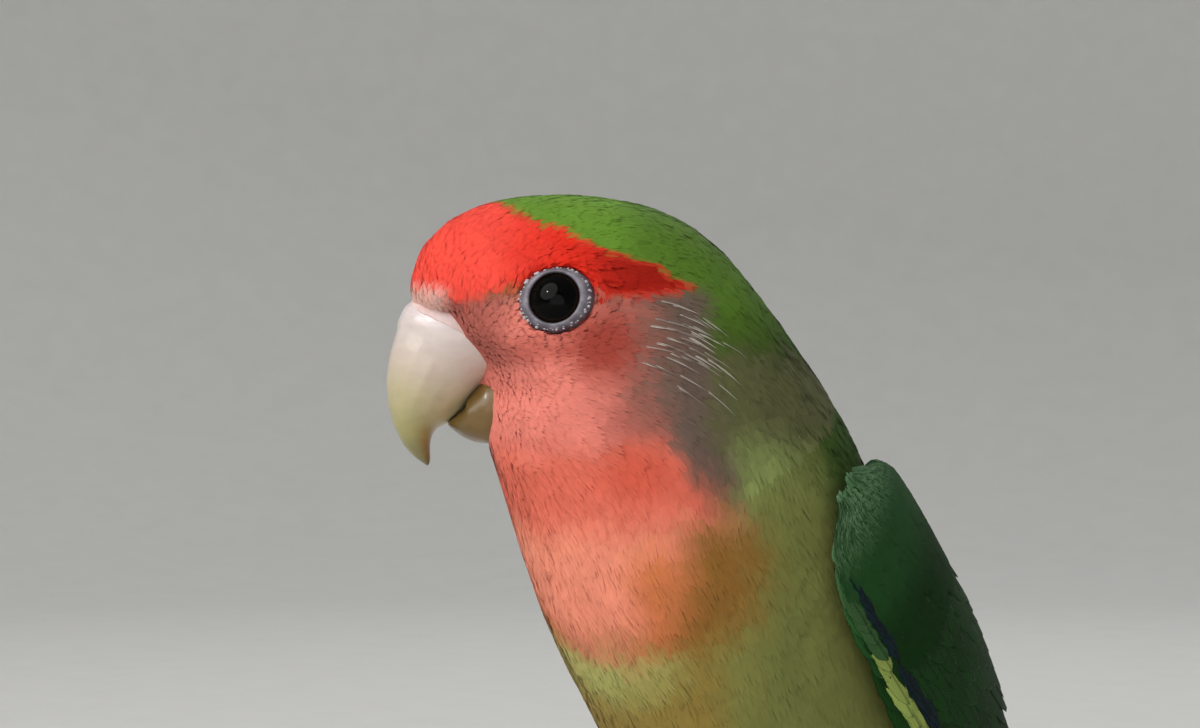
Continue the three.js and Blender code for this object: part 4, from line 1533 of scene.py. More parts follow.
@dataclass
class FeatherBed:
    """Collects firm feathers that lie on one surface, and joins them in one mesh."""

    surface: Surface
    rows: int
    columns: int
    cells: int
    parts: list[dict[str, Array]] = field(default_factory=list)

    def lay(
        self, root: Array, tip: Array, half: float, look: Look, tilt: float, sweep: float, chance: float
    ) -> None:
        """Lays one feather.

        Args:
            root: Where it starts, along and across the surface.
            tip: Where it ends.
            half: Half its width.
            look: Its colours and its kind.
            tilt: How much its first edge stands over its last.
            sweep: How late it turns towards its tip.
            chance: Its own random number.
        """
        grid = Vane(self.rows, self.columns)
        share, across = grid.grid[:, 0], grid.grid[:, 1]
        along = root[0] + (tip[0] - root[0]) * share
        centre = root[1] + (tip[1] - root[1]) * share**sweep
        width = grid.width(look.long) * half * (1 + 0.05 * np.sin(share * 23 + chance * 40))
        low, high = look.raised
        raised = low + (high - low) * share**0.8 - across * tilt
        raised = raised + Vane.CAMBER * (1 - across**2)
        raised = raised + Vane.SHAFT * np.exp(-((across / Vane.SHAFT_HALF) ** 2))
        across_mm = across * width
        wide = np.stack([centre, across_mm])
        top = self.surface(along, wide, raised)
        under = self.surface(along[grid.inner], wide[:, grid.inner], raised[grid.inner] - Vane.THICK)
        length = abs(tip[0] - root[0])
        tints = self.tints(look, share, across, chance)
        vane = np.stack([across_mm, share * length, np.full(len(share), chance)], 1)
        cell = 1 / self.cells
        home = np.array(divmod(len(self.parts), self.cells)[::-1]) * cell
        uv = home + cell * (0.06 + 0.88 * np.stack([across / 2 + 0.5, share], 1))
        pick = np.concatenate([np.arange(len(share)), grid.inner])
        verts = np.concatenate([top, under])
        marks = {"tint": tints[pick], "vane": vane[pick], "uv": uv[pick]}
        self.parts.append({"verts": verts, "faces": grid.faces, **marks})

    @staticmethod
    def tints(look: Look, share: Array, across: Array, chance: float) -> Array:
        """Colours over one feather: its outer web, inner web and end."""
        web = ease(0.05, 0.4, across)[:, None]
        colour = look.outer + (look.inner - look.outer) * web
        colour = colour + (look.end - colour) * (ease(0.8, 1.0, share) * 0.8)[:, None]
        return colour * (0.9 + 0.2 * chance)

    def mesh(self, name: str) -> Mesh:
        """Joins the feathers."""
        starts = np.cumsum([0] + [len(part["verts"]) for part in self.parts[:-1]])
        faces = np.concatenate([part["faces"] + start for part, start in zip(self.parts, starts)])
        verts, uv, tint, vane = (
            np.concatenate([part[key] for part in self.parts]) for key in ("verts", "uv", "tint", "vane")
        )
        mesh = mesh_of(name, verts * MM, faces, uv)
        Shape.mark(mesh, "tint", tint)
        Shape.mark(mesh, "vane", vane)
        return mesh


@dataclass
class Wing:
    """A folded wing: a sleeve round an axis down the back, with tiers of feathers laid on it.

    At places along the axis, the sleeve gives the half width and the height over it, and the edges give
    the angles of the wing's lower and upper edge, up from the side. The sleeve clears the torso by cover.
    """

    shop: Workshop
    flesh: Flesh
    side: str
    slope: float = 52.0
    axis_height: float = 88.0
    cover: float = 1.5
    soften: float = 2.0
    along_step: float = 2.0
    angle_step: float = 3.0
    least_aside: float = 0.35
    bed_depth: float = 0.8
    tilt: float = 0.2
    covert_rows: int = 20
    covert_radius: float = 20.5
    mantle_edge: float = 88.0
    scapular_long: float = 11.0
    soft_count: int = 1500
    sleeve: tuple[Triple, ...] = (
        (-12, 16.5, 19.5), (0, 21.6, 22.2), (20, 22.2, 22.6), (40, 20, 19.6), (60, 15.2, 13),
        (80, 9.8, 9.4), (96, 7, 8.2),
    )
    edges: tuple[Triple, ...] = (
        (-9, 6, 20), (-6, -7, 36), (0, -13, 52), (10, -14, 66), (20, -14, 74),
        (35, -11, 84), (50, -6, 89), (65, 3, 90), (80, 19, 90), (95, 50, 88),
    )
    tiers: tuple[Tier, ...] = (
        Tier(9, ((22, 0.05), (26, 0.3)), ((95.5, 0.44), (71, 0.42)), 2.3, Look(PRIMARY, QUILL, QUILL)),
        Tier(8, ((24, 0.36), (26, 0.66)), ((69, 0.5), (61, 0.78)), 2.5, Look(WING, QUILL, WING)),
        Tier(4, ((22, 0.7), (16, 0.9)), ((60, 0.83), (47, 0.91)), 3.0, Look(WING, WING, WING)),
        Tier(6, ((8, 0.05), (11, 0.3)), ((41, 0.06), (35, 0.3)), 2.4, SHORT_DARK),
        Tier(10, ((8, 0.34), (6, 0.9)), ((32, 0.36), (27, 0.9)), 2.7, SHORT_DARK),
    )

    def build(self) -> None:
        """Makes the bed and the feathers of one wing."""
        self.hand = 1.0 if self.side == "left" else -1.0
        self.down, self.over = sloping(self.slope)
        self.start = self.shop.stance.in_bird(0, 0, self.axis_height)
        self.measure()
        self.bed()
        self.feathers()

    def measure(self) -> None:
        """Works out the sleeve's distance from the axis over a grid of places and angles."""
        self.alongs = np.arange(-16.0, 104.0, self.along_step)
        self.angles = np.radians(np.arange(-44.0, 100.0, self.angle_step))
        places, halves, highs = np.array(self.sleeve).T
        self.radii = np.empty((len(self.alongs), len(self.angles)))
        for i, along in enumerate(self.alongs):
            half = self.smooth(along, places, halves)
            high = self.smooth(along, places, highs)
            centre = self.start + self.down * along
            for j, angle in enumerate(self.angles):
                way = self.way(angle)
                plain = 1 / math.hypot(math.cos(angle) / half, math.sin(angle) / high)
                over = self.flesh.outer.leaves(centre, way) - self.flesh.closing + self.cover
                share = max(self.soften - abs(plain - over), 0) / self.soften
                self.radii[i, j] = max(plain, over) + share * share * self.soften / 4

    @staticmethod
    def smooth(value: float, places: Array, heights: Array) -> float:
        """A soft curve through stations."""
        fine = np.linspace(places[0], places[-1], 60)
        line = np.interp(fine, places, heights)
        for _ in range(6):
            line[1:-1] = (line[:-2] + 2 * line[1:-1] + line[2:]) / 4
        return float(np.interp(value, fine, line))

    def way(self, angle: float | Array) -> Array:
        """Out from the axis at an angle up from the side."""
        flat = np.array([self.hand, 0, 0])
        return np.multiply.outer(np.cos(angle), flat) + np.multiply.outer(np.sin(angle), self.over)

    def radius(self, along: Array, angle: Array) -> Array:
        """The sleeve's distance from the axis, read from the grid."""
        i = np.clip((along - self.alongs[0]) / self.along_step, 0, len(self.alongs) - 1.001)
        j = np.clip(np.degrees(angle - self.angles[0]) / self.angle_step, 0, len(self.angles) - 1.001)
        a, b = i.astype(int), j.astype(int)
        s, t = i - a, j - b
        low = self.radii[a, b] * (1 - t) + self.radii[a, b + 1] * t
        high = self.radii[a + 1, b] * (1 - t) + self.radii[a + 1, b + 1] * t
        return low * (1 - s) + high * s

    def edge_angles(self, along: float | Array) -> tuple[Array, Array]:
        """The lower and the upper edge's angle at places along the wing, in degrees."""
        places, low, high = np.array(self.edges).T
        return np.interp(along, places, low), np.interp(along, places, high)

    def surface(self, along: Array, across: Array, raised: Array) -> Array:
        """Places on the wing.

        Args:
            along: Millimetres along the axis.
            across: Shares of the way from the lower edge to the upper one, and millimetres from there.
            raised: Millimetres over the sleeve.

        Returns:
            Points in millimetres.
        """
        low, high = self.edge_angles(along)
        angle = np.radians(low + (high - low) * across[0])
        angle = angle + across[1] / self.radius(along, angle)
        out = self.radius(along, angle) + raised
        points = self.start + np.outer(along, self.down) + self.way(angle) * out[:, None]
        middle = self.start[0]
        aside = np.maximum((points[:, 0] - middle) * self.hand, self.least_aside)
        points[:, 0] = middle + aside * self.hand
        return points

    def bed(self) -> None:
        """The flesh and hidden down that the feathers lie on."""
        name = f"wing_{self.side}"
        shape = Shape.remeshed(Shape.from_nodes(self.shop.nodes, [name]), 0.6, 6)
        Shape.swell(shape, -self.bed_depth)
        count = len(shape.verts)
        mesh = Shape.mesh(shape, f"wing_bed_{self.side}")
        Shape.mark(mesh, "tint", np.tile(WING * 0.8, (count, 1)))
        self.shop.add(mesh, UnderFinish(name=f"wing_down_{self.side}").make(), "wing_feathers", [name])

    def coverts(self, bed: FeatherBed, draw: Draw) -> None:
        """Lays the rows of small feathers, smaller towards the bend of the wing, and paler there by a
        painted highlight on the shoulder and bend.
        """
        bend, shoulder, light = lights(Tint.WING_BEND_HIGHLIGHT, Tint.WING_SHOULDER_HIGHLIGHT, Tint.WING_LIGHT)
        for row in range(self.covert_rows):
            share = row / (self.covert_rows - 1)
            start = 20 - 29.5 * share
            length = 11.5 - 8 * share**0.8
            half = 2.7 - 1.8 * share
            low, high = self.edge_angles(start + length / 2)
            count = max(round(math.radians(high - low) * self.covert_radius / (half * 1.2)), 4)
            for i in range(count):
                place = (i + 0.5 * (row % 2) + draw.normal(0, 0.08)) / (count - 0.5)
                near = np.array(start + length / 2 + draw.normal(0, 1.5))
                tint = WING + (light - WING) * draw.random() * 0.7
                # The shoulder's lit green and the bend's pale sheen are painted highlights.
                tint = tint + (shoulder - tint) * ease(12, -2, near) * 0.8
                tint = tint + (bend - tint) * ease(-2, -8, near) * draw.uniform(0.3, 1)
                look = Look.small(tint, (-0.35, 0.1))
                root = np.array([start + draw.normal(0, 0.3), 0.01 + 0.98 * place])
                tip = root + np.array([length * draw.uniform(0.9, 1.1), draw.normal(0, 0.01)])
                wide = half * draw.uniform(1.0, 1.15)
                bed.lay(root, tip, wide, look, self.tilt * 0.4, 1.0, draw.random())

    def scapulars(self, bed: FeatherBed, draw: Draw) -> None:
        """Lays the soft feathers that close the back between the wings."""
        mantle, long, edge = Tint.MANTLE.linear, self.scapular_long, self.mantle_edge
        for start in np.arange(40.0, 2.0, -3.2):
            low, high = self.edge_angles(np.array([start, start + long]))
            top = high[0] - 8
            for angle in np.linspace(top, edge, max(round((edge - top) / 6), 2)):
                ends = (angle + draw.normal(0, 0.6, 2) - low) / (high - low)
                place = np.array(start + (edge - angle) * 0.3 + draw.normal(0, 1))
                look = Look.small(mantle + (WING - mantle) * ease(-2, 24, place), (-0.9, 0.22))
                root = np.array([start + draw.normal(0, 0.3), ends[0]])
                tip = np.array([start + long * draw.uniform(0.9, 1.05), ends[1]])
                bed.lay(root, tip, 2.0, look, 0.05, 1.0, draw.random())

    def soft_feathers(self, draw: Draw) -> None:
        """Covers the front of the wing and the edge of the mantle with small soft feathers."""
        count = self.soft_count
        along = -9.5 + 17.5 * draw.random(count) ** 1.2
        low, high = self.edge_angles(along)
        share = draw.random(count) * np.where(along > 3, (self.mantle_edge - low) / (high - low), 1.0)
        long = 2.6 + 2.2 * ease(-8, 6, along)
        across = np.stack([share, share * 0])
        line = [
            self.surface(along + long * part, across, np.full(count, level))
            for part, level in ((0.0, -0.4), (0.5, 0.2), (1.0, 0.26))
        ]
        out = unit(self.surface(along, across, np.ones(count)) - line[0])
        bend, shoulder, mantle = lights(Tint.WING_BEND_HIGHLIGHT, Tint.WING_SHOULDER_HIGHLIGHT, Tint.MANTLE)

        def paint(points: Array) -> Array:
            """A painted highlight, pale at the bend and lit green at the shoulder, then the wing's green
            behind it, and the mantle's green beside the back.
            """
            place = ((points - self.start) @ self.down)[:, None]
            aside = np.abs(points[:, :1] - self.start[0])
            mix = draw.random((len(points), 1))
            # Painted highlight: lit green at the shoulder, paler at the bend.
            tint = shoulder * 0.6 + (bend - shoulder * 0.6) * ease(-1, -8, place) * mix
            tint = tint + (WING - tint) * ease(0, 8, place)
            return tint + (mantle - tint) * ease(15, 11, aside)

        homes = np.stack([0.05 + 0.55 * share, 0.05 + (along + 10) / 20], 1)
        name = f"wing_soft_{self.side}"
        piece = Tufts(8).mesh(name, np.stack(line, 1), out, long * 0.26, paint, homes, 80)
        self.shop.add(piece, DownFinish().make(), "wing_feathers")

    def margin(self, bed: FeatherBed, draw: Draw) -> None:
        """Lays the pale feathers along the wing's lower edge, and the blue ones behind them."""
        for place, half, inner in ((0.075, 0.9, True), (0.022, 1.25, False)):
            for along in np.arange(44.0, -5.0, -1.7):
                tint = Tint.WING_EDGE if along > 2.5 + draw.normal(0, 1) else Tint.WING_RIM
                look = Look.small((Tint.WING_BLUE if inner else tint).linear, (-0.2, 0.35))
                root = np.array([along + draw.normal(0, 0.3), place])
                tip = root + np.array([9.0 if along > 4 else 6.0, draw.normal(0.004, 0.005)])
                wide = half * draw.uniform(0.9, 1.1)
                bed.lay(root, tip, wide, look, self.tilt * 0.5, 1.0, draw.random())

    def feathers(self) -> None:
        """Lays all tiers, from the flight feathers up to the small ones at the bend."""
        draw = np.random.default_rng(SEED + 50)
        bed = FeatherBed(self.surface, 11, 7, 29)
        for tier in self.tiers:
            roots, tips = np.array(tier.roots), np.array(tier.tips)
            for i in range(tier.count):
                share = i / (tier.count - 1)
                root, tip = (ends[0] * (1 - share) + ends[1] * share for ends in (roots, tips))
                tip[0] += draw.normal(0, 0.5)
                half = tier.half * draw.uniform(0.94, 1.06)
                bed.lay(root, tip, half, tier.look, self.tilt, 1.8, draw.random())
        self.coverts(bed, draw)
        self.scapulars(bed, draw)
        self.margin(bed, draw)
        self.soft_feathers(draw)
        self.shop.add(bed.mesh(f"wing_feathers_{self.side}"), VaneFinish().make(), "wing_feathers")


@dataclass(frozen=True)
class CovertRow:
    """A row of tail coverts, with the middle one's length and heights at root and tip.

    The outermost are shorter, each next one lies lower by fall, and apart is the row's spread there.
    """

    count: int
    length: float
    shorter: float
    apart: Pair
    raised: Pair
    fall: float
    tint: Tint
    end: Tint


@dataclass
class Tail:
    """A fan of feathers that slopes down to the floor, with coverts over and under its root."""

    shop: Workshop
    root: Triple = (0.0, 39.0, 32.9)
    slope: float = 41.5
    length: float = 50.0
    count: int = 12
    rows: tuple[CovertRow, ...] = (
        CovertRow(9, 30, 6.5, (1.7, 2.7), (3.2, 0.7), 0.34, Tint.RUMP, Tint.TAIL),
        CovertRow(7, 20, 4, (1.5, 2.3), (3.4, 1.9), 0.3, Tint.RUMP, Tint.RUMP),
        CovertRow(9, 31, 5.5, (1.6, 2.2), (-2.9, -0.8), -0.3, Tint.VENT, Tint.VENT),
        CovertRow(7, 21, 4, (1.4, 2.0), (-3.2, -1.9), -0.28, Tint.VENT, Tint.BELLY),
    )

    def surface(self, along: Array, across: Array, raised: Array) -> Array:
        """Places on the fan: along it, across it in two parts that add up, and over it."""
        wide = across[0] + across[1]
        return (
            self.shop.stance.in_bird(*self.root)
            + np.outer(along, self.down)
            + np.outer(wide, self.left)
            + np.outer(raised, self.over)
        )

    def build(self) -> None:
        """Makes the root and the feathers."""
        self.down, self.over = sloping(self.slope)
        self.left = np.array([1.0, 0, 0])
        bed = FeatherBed(self.surface, 15, 7, 10)
        draw = np.random.default_rng(SEED + 60)
        middle = (self.count - 1) / 2
        for i in range(self.count):
            place = i - middle
            off = abs(place) / middle
            top = 0.85 - 0.42 * abs(place)
            webs = lights(Tint.TAIL, Tint.TAIL if off < 0.25 else Tint.TAIL_RED)
            if place > 0:
                webs.reverse()
            look = Look(*webs, Tint.TAIL_TIP.linear, (top, top - 0.1))
            root = np.array([0.0, place * 0.8])
            tip = np.array([self.length - 9 * off * off, place * 1.4])
            bed.lay(root, tip, 3.1, look, 0.0, 1.0, draw.random())
        for row in self.rows:
            self.coverts(bed, draw, row)
        finish = VaneFinish("tail_feather").make()
        self.shop.add(bed.mesh("tail_feathers"), finish, "tail_feathers", ["tail"])

    @staticmethod
    def coverts(bed: FeatherBed, draw: Draw, row: CovertRow) -> None:
        """Lays one row of coverts."""
        for i in range(row.count):
            place = (i - (row.count - 1) / 2) * 4 / (row.count - 1)
            off = abs(place) / 2
            heights = (row.raised[0] - row.fall * abs(place), row.raised[1] - row.fall * abs(place))
            look = Look(row.tint.linear, row.tint.linear, row.end.linear, heights, False)
            root = np.array([0.0, place * row.apart[0]])
            length = row.length - row.shorter * off * off + draw.normal(0, 0.4)
            tip = np.array([length, place * row.apart[1]])
            bed.lay(root, tip, 2.2, look, 0.0, 1.0, draw.random())


Section = tuple[Pair, Pair, float]


@dataclass
class Bill:
    """Upper and lower bill and the cere, rounded from their solids.

    Their roots run on under the face through sections: places in the head of top and edge, and half the
    width. The cere ends below at a tilted line through cere_front and cere_foot.
    """

    shop: Workshop
    upper_root: tuple[Section, ...] = (
        ((7.5, 5.5), (1.0, -3.5), 5.2), ((12.5, 4.2), (5.5, -5.4), 6.2),
        ((18.0, 0.9), (9.8, -7.7), 5.9), ((19.6, -3.2), (12.5, -10.6), 5.1),
    )
    lower_root: tuple[Section, ...] = (
        ((2.0, -6.0), (2.0, -13.0), 4.0), ((6.0, -6.0), (6.0, -14.0), 4.8),
        ((9.8, -7.0), (9.6, -14.8), 4.6), ((12.0, -9.6), (11.8, -14.2), 3.7),
    )
    section_points: int = 28
    full_side: float = 0.62
    cere_front: float = 19.5
    cere_foot: float = 0.9
    cere_tilt: float = 0.5
    cere_swell: float = 0.16

    def build(self) -> list[Solid]:
        """Makes the three pieces.

        Returns:
            Solids that the coat keeps off.
        """
        stance = self.shop.stance
        cere = FleshFinish("cere_skin", (222, 200, 198), (208, 176, 172), 0.5)
        horn, low_horn = BillFinish(stance), BillFinish(stance, "lower_bill_horn", True)
        looks = (
            ("upper_bill", ("upper_bill", "cere"), 0.24, 10, 0.1, horn, "bill_horn"),
            ("lower_bill", ("lower_bill",), 0.22, 7, 0.08, low_horn, "lower_bill_horn"),
            ("cere", ("cere",), 0.14, 9, 0.05, cere, "cere_skin"),
        )
        solids = []
        for name, sources, voxel, rounds, closing, finish, slot in looks:
            rough = Shape.from_nodes(self.shop.nodes, sources)
            Shape.join(rough, self.root(name))
            Shape.swell(rough, closing)
            if name == "cere":
                self.cut(rough)
            shape = Shape.remeshed(rough, voxel, rounds)
            solids.append(Solid(shape))
            self.shop.add(Shape.mesh(shape, f"{name}_horn"), finish.make(), slot, [name])
        return solids

    def cut(self, shape: BMesh) -> None:
        """Takes away what lies below the cere's lower edge."""
        stance = self.shop.stance
        bmesh.ops.bisect_plane(
            shape,
            geom=[*shape.verts, *shape.edges, *shape.faces],
            plane_co=stance.in_head(self.cere_front, self.cere_foot),
            plane_no=stance.up - stance.forward * self.cere_tilt,
            clear_inner=True,
        )
        bmesh.ops.holes_fill(shape, edges=shape.edges, sides=0)

    def side(self, turn: float) -> float:
        """How far out a section is at a turn from its top, with sides that stay full down to the edge."""
        out = math.sin(turn)
        return math.copysign(abs(out) ** (self.full_side if math.cos(turn) < 0 else 1.0), out)

    def root(self, name: str) -> BMesh:
        """The part of the horn that runs on under the face, through its own sections."""
        stance = self.shop.stance
        sections = self.lower_root if name == "lower_bill" else self.upper_root
        shape = bmesh.new()
        turns = np.linspace(0, 2 * math.pi, self.section_points + 1)[:-1]
        rings = []
        for top, edge, half in sections:
            high, low = stance.in_head(*top), stance.in_head(*edge)
            middle, rise = (high + low) / 2, (high - low) / 2
            wide = stance.left * half
            places = [middle + rise * math.cos(turn) + wide * self.side(turn) for turn in turns]
            rings.append([shape.verts.new(place) for place in places])
        loops = [[shape.edges.new(pair) for pair in zip(ring, ring[1:] + ring[:1])] for ring in rings]
        for first, second in zip(loops, loops[1:]):
            bmesh.ops.bridge_loops(shape, edges=first + second)
        bmesh.ops.contextual_create(shape, geom=loops[0])
        bmesh.ops.contextual_create(shape, geom=loops[-1])
        bmesh.ops.recalc_face_normals(shape, faces=shape.faces)
        if name == "cere":
            Shape.swell(shape, self.cere_swell)
        return shape


@dataclass
class Eye:
    """An eyeball and the ring of lids round it.

    The ring's profile gives distances out from the eye's axis and along it, and so do the rows of beads,
    with the beads' size and count. Feathers stay clear of the eye up to bare, and flow round it.
    """

    shop: Workshop
    side: str
    radius: float = 3.86
    cornea: float = 0.2
    ring: Stations = (
        (3.72, 1.9), (3.3, 2.42), (2.9, 2.72), (2.74, 2.92), (2.82, 3.08), (3.04, 3.15),
        (3.34, 3.1), (3.64, 2.95), (3.88, 2.72), (4.06, 2.4), (4.2, 2.0), (4.2, 1.7),
    )
    beads: tuple[tuple[float, float, float, int], ...] = (
        (3.92, 2.66, 0.2, 34), (3.74, 2.84, 0.15, 30), (3.2, 3.1, 0.07, 44),
    )
    squash: float = 0.86
    bare: float = 4.02
    flow: float = 3.7
    collar_ring: Triple = (4.55, 2.1, 0.8)

    def __post_init__(self) -> None:
        """Works out the eye's own axes."""
        self.centre = centre_of(f"eye_{self.side}")
        self.outward = unit(centre_of(f"eyelid_{self.side}") - self.centre)
        forward = self.shop.stance.forward
        self.ahead = unit(forward - self.outward * (forward @ self.outward))
        self.high = np.cross(self.outward, self.ahead) * (1 if self.side == "right" else -1)
        axes = np.stack([self.ahead, self.high, self.outward], 1)
        self.place = Matrix.Translation(Vector(self.centre)) @ Matrix(axes.tolist()).to_4x4()

    def around(self, points: Array) -> Array:
        """How far places lie from the eye's axis, as an oval, and 99 on the other side of the head."""
        local = points - self.centre
        oval = np.hypot(local @ self.ahead, local @ self.high / self.squash)
        return np.where(np.abs(local @ self.outward) < 8, oval, 99.0)

    def parted(self, points: Array, ways: Array) -> Array:
        """Leads the lie of feathers round the eye, as water flows round a post."""
        local = points - self.centre
        flat = local - np.outer(local @ self.outward, self.outward)
        out = unit(flat)
        pull = np.clip(self.flow / np.maximum(self.around(points), self.flow), 0, 1) ** 2
        pull = pull * ease(9, 6, self.around(points))
        return ways + (ways - 2 * out * (ways * out).sum(1)[:, None]) * pull[:, None]

    def collar(self, shape: BMesh) -> None:
        """Adds a ring of flesh that closes the socket up to the lids."""
        radius, high, thick = self.collar_ring
        turns = np.linspace(0, 2 * math.pi, 11)[:-1]
        profile = [(radius + thick * math.cos(turn), high + thick * math.sin(turn)) for turn in turns]
        ring = Shape.revolve(profile, True, 48)
        bmesh.ops.scale(ring, vec=(1, self.squash, 1), verts=ring.verts)
        bmesh.ops.transform(ring, matrix=self.place, verts=ring.verts)
        bmesh.ops.recalc_face_normals(ring, faces=ring.faces)
        Shape.join(shape, ring)

    def build(self) -> None:
        """Makes the eyeball and the lids."""
        self.ball()
        self.lids()

    def ball(self) -> None:
        """A sphere with a raised cornea, marked with its distance from its axis."""
        shape = bmesh.new()
        bmesh.ops.create_uvsphere(shape, u_segments=64, v_segments=40, radius=self.radius)
        for vert in shape.verts:
            out = math.hypot(vert.co.x, vert.co.y)
            if vert.co.z > 0:
                vert.co.z += self.cornea * max(1 - (out / 3.0) ** 2, 0)
        flat = Shape.points(shape)
        x, y, z = flat.T
        marks = np.stack([np.hypot(x, y), np.arctan2(y, x), z], 1)
        bmesh.ops.transform(shape, matrix=self.place, verts=shape.verts)
        mesh = Shape.mesh(shape, f"eyeball_{self.side}")
        Shape.mark(mesh, "gaze", marks)
        self.shop.add(mesh, EyeFinish().make(), "eye", [f"eye_{self.side}"])

    def lids(self) -> None:
        """A ring of bare skin, with small beads round its rim."""
        shape = Shape.revolve(self.ring, True, 96)
        draw = np.random.default_rng(SEED + 70)
        for vert in shape.verts:
            turn = math.atan2(vert.co.y, vert.co.x)
            out = math.hypot(vert.co.x, vert.co.y)
            vert.co.z += 0.03 * math.sin(turn * 30) * float(ease(3.3, 3.9, np.array(out)))
        bead = shape.verts.layers.int.new("bead")
        for out, high, size, count in self.beads:
            for i in range(count):
                turn = 2 * math.pi * (i + draw.normal(0, 0.3)) / count
                grown = size * draw.uniform(0.35, 1.2)
                reach = out + draw.normal(0, 0.08)
                place = Matrix.Translation((reach * math.cos(turn), reach * math.sin(turn), high))
                made = bmesh.ops.create_icosphere(shape, subdivisions=2, radius=grown, matrix=place)
                for vert in made["verts"]:
                    vert[bead] = int(size > 0.1)
        for vert in shape.verts:
            out = math.hypot(vert.co.x, vert.co.y)
            vert.co.y *= 1 + (self.squash - 1) * float(ease(2.6, 4.1, np.array(out)))
        marks = Shape.points(shape)
        marks[:, 2] = [vert[bead] for vert in shape.verts]
        bmesh.ops.transform(shape, matrix=self.place, verts=shape.verts)
        mesh = Shape.mesh(shape, f"lids_{self.side}")
        Shape.mark(mesh, "gaze", marks)
        self.shop.add(mesh, LidFinish().make(), "eyelid_skin", [f"eyelid_{self.side}"])


@dataclass
class Leg:
    """The bare shank, foot and toes as one skin with a scute every so often, and the claws."""

    shop: Workshop
    side: str
    voxel: float = 0.26
    closing: float = 0.2
    scute: float = 1.15
    scute_rise: float = 0.07

    def build(self) -> None:
        """Makes the skin and the claws."""
        toes = [f"toe_{self.side}_{i}" for i in range(1, 5)]
        names = [f"shank_{self.side}", f"foot_{self.side}", *toes]
        shape = Shape.from_nodes(self.shop.nodes, names)
        Shape.swell(shape, self.closing)
        shape = Shape.remeshed(shape, self.voxel, 4)
        Shape.swell(shape, -self.closing * 0.75)
        points = Shape.points(shape)
        normals = np.array([vert.normal for vert in shape.verts])
        foot = centre_of(f"foot_{self.side}")
        far = np.hypot(points[:, 0] - foot[0], points[:, 1] - foot[1])
        toe = ease(3.0, 4.5, far) * ease(0.1, 0.6, normals[:, 2]) * ease(4.6, 3.6, points[:, 2])
        shank = ease(4.0, 6.0, points[:, 2])
        bands = np.abs(np.sin(math.pi * far / self.scute)) ** 0.5 * toe
        rings = np.abs(np.sin(math.pi * points[:, 2] / self.scute)) ** 0.5 * shank
        Shape.swell(shape, (bands + rings - 0.6 * np.maximum(toe, shank)) * self.scute_rise)
        for vert in shape.verts:
            vert.co.z = max(vert.co.z, 0.01)
        mesh = Shape.mesh(shape, f"leg_{self.side}")
        self.shop.add(mesh, LegFinish().make(), "leg_skin", names)
        horn = ClawFinish().make()
        for i in range(1, 5):
            name = f"claw_{self.side}_{i}"
            rough = Shape.from_nodes(self.shop.nodes, [name])
            Shape.swell(rough, 0.06)
            claw = Shape.mesh(Shape.remeshed(rough, 0.16, 3), f"claw_horn_{self.side}_{i}")
            self.shop.add(claw, horn, "claw_horn", [name])


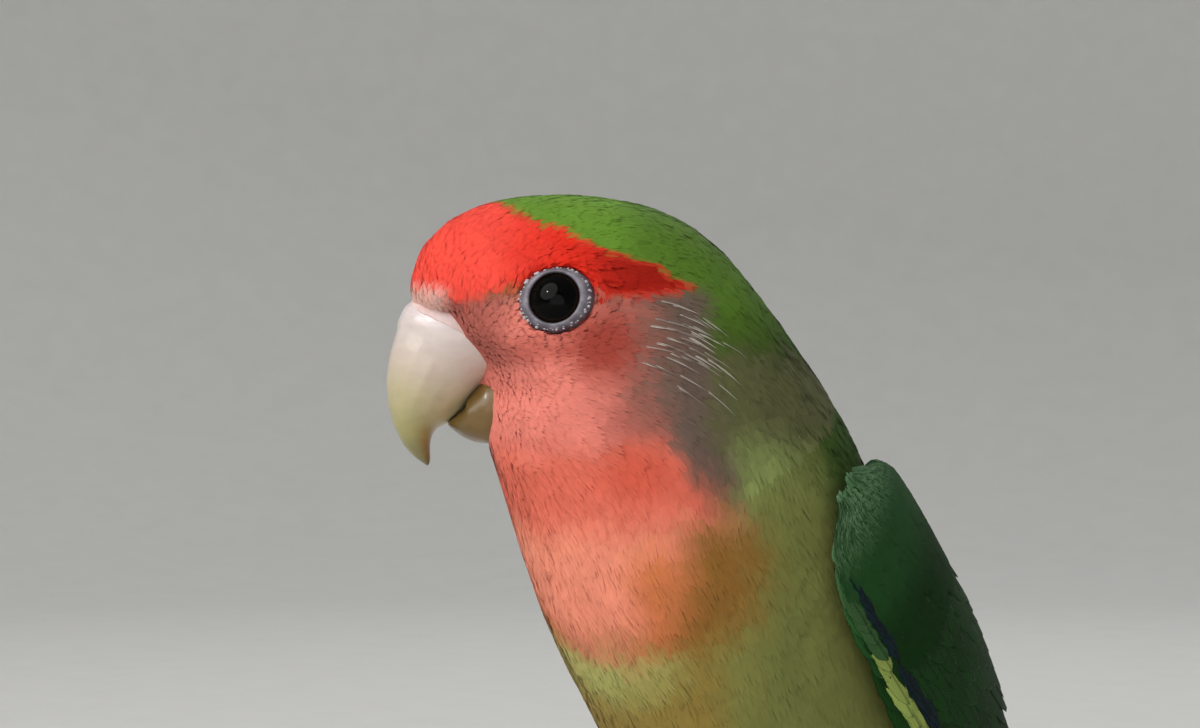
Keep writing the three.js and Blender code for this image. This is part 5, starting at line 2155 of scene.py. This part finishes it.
@dataclass
class Studio:
    """The pale floor that rises all round, the lights and the camera."""

    stance: Stance
    lens: float = 81.0
    sensor: float = 36.0
    floor_radius: float = 1.6
    flat_share: float = 0.6
    wall: float = 1.5
    room: tuple[float, float, float, float] = (0.86, 0.88, 0.9, 1)
    room_light: float = 0.37

    def build(self) -> None:
        """Makes the studio."""
        right, up = Sight.AIM
        self.target = (self.stance.head + Sight.RIGHT * right + self.stance.up * up) * MM
        self.floor()
        self.light("key", (-0.7, 0.75, 0.5), 1.3, 12.0, (1.0, 0.97, 0.93))
        catch = self.light("catch", (-0.8, 0.74, 0.5), 0.07, 3.0, (1.0, 1.0, 1.0))
        catch.visible_diffuse = False
        self.light("fill", (-0.2, 0.1, 1.0), 1.0, 3.0, (0.95, 0.97, 1.0))
        self.light("rim", (0.25, 0.75, -0.7), 0.6, 3.0, (1.0, 1.0, 1.0))
        bpy.context.scene.view_settings.view_transform = "Standard"
        world = bpy.data.worlds.new("soft_room")
        world.use_nodes = True
        background = world.node_tree.nodes["Background"].inputs
        background["Color"].default_value = self.room
        background["Strength"].default_value = self.room_light
        bpy.context.scene.world = world
        camera = bpy.data.cameras.new("camera")
        camera.lens = self.lens
        camera.sensor_width = self.sensor
        camera.clip_start = 0.01
        seat = bpy.data.objects.new("camera", camera)
        bpy.context.scene.collection.objects.link(seat)
        seat.location = Vector(self.target + Sight.BACK * Sight.DISTANCE * MM)
        seat.rotation_euler = (math.radians(90), 0, math.radians(self.stance.head_turn))
        bpy.context.scene.camera = seat

    def floor(self) -> None:
        """A disc whose rim curves up into a wall."""
        flat = self.flat_share * self.floor_radius
        corner = self.floor_radius - flat
        profile = [(0.0, 0.0), (flat / 2, 0.0), (flat, 0.0)]
        for turn in np.linspace(0, math.pi / 2, 9)[1:]:
            profile.append((flat + corner * math.sin(turn), corner * (1 - math.cos(turn))))
        profile.append((self.floor_radius, self.wall))
        shape = Shape.revolve(profile, False, 64)
        mesh = bpy.data.meshes.new("studio_floor")
        shape.to_mesh(mesh)
        shape.free()
        mesh.polygons.foreach_set("use_smooth", np.ones(len(mesh.polygons), bool))
        floor = bpy.data.objects.new("studio_floor", mesh)
        bpy.context.scene.collection.objects.link(floor)
        mesh.materials.append(FloorFinish().make())

    def light(
        self, name: str, place: Triple, size: float, power: float, colour: Sequence[float]
    ) -> bpy.types.Object:
        """A soft round light aimed at the bird.

        Args:
            name: Its name.
            place: Metres right, up and towards the camera from the aim.
            size: Its width in metres.
            power: Its power in watts.
            colour: Its colour.

        Returns:
            The light.
        """
        lamp = bpy.data.lights.new(name, "AREA")
        lamp.shape = "DISK"
        lamp.size = size
        lamp.energy = power
        lamp.color = colour
        seat = bpy.data.objects.new(name, lamp)
        bpy.context.scene.collection.objects.link(seat)
        right, up, near = place
        spot = Vector(self.target + Sight.RIGHT * right + self.stance.up * up + Sight.BACK * near)
        seat.location = spot
        seat.rotation_euler = (Vector(self.target) - spot).to_track_quat("-Z", "Y").to_euler()
        return seat


def main() -> None:
    """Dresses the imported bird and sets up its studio."""
    logging.basicConfig(level=logging.WARNING, format="%(name)s %(message)s", stream=sys.stdout)
    log.setLevel(logging.INFO)
    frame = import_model()
    stance = Stance.from_frame()
    shop = Workshop(frame["nodes"], stance)
    spine = Spine(stance)
    markings = Markings(stance, spine)
    Studio(stance).build()
    bills = Bill(shop).build()
    eyes = [Eye(shop, side) for side in SIDES]
    flesh = Flesh(shop, markings, bills, eyes)
    flesh.build()
    wings = [Solid(Shape.from_nodes(shop.nodes, [f"wing_{side}"])) for side in SIDES]
    for eye in eyes:
        eye.build()
        Leg(shop, eye.side).build()
        Wing(shop, flesh, eye.side).build()
    Tail(shop).build()
    Coat(shop, flesh, markings, spine, wings).build()
    bpy.context.view_layer.update()
    log.info("%d pieces", shop.pieces)


if __name__ == "__main__":
    main()
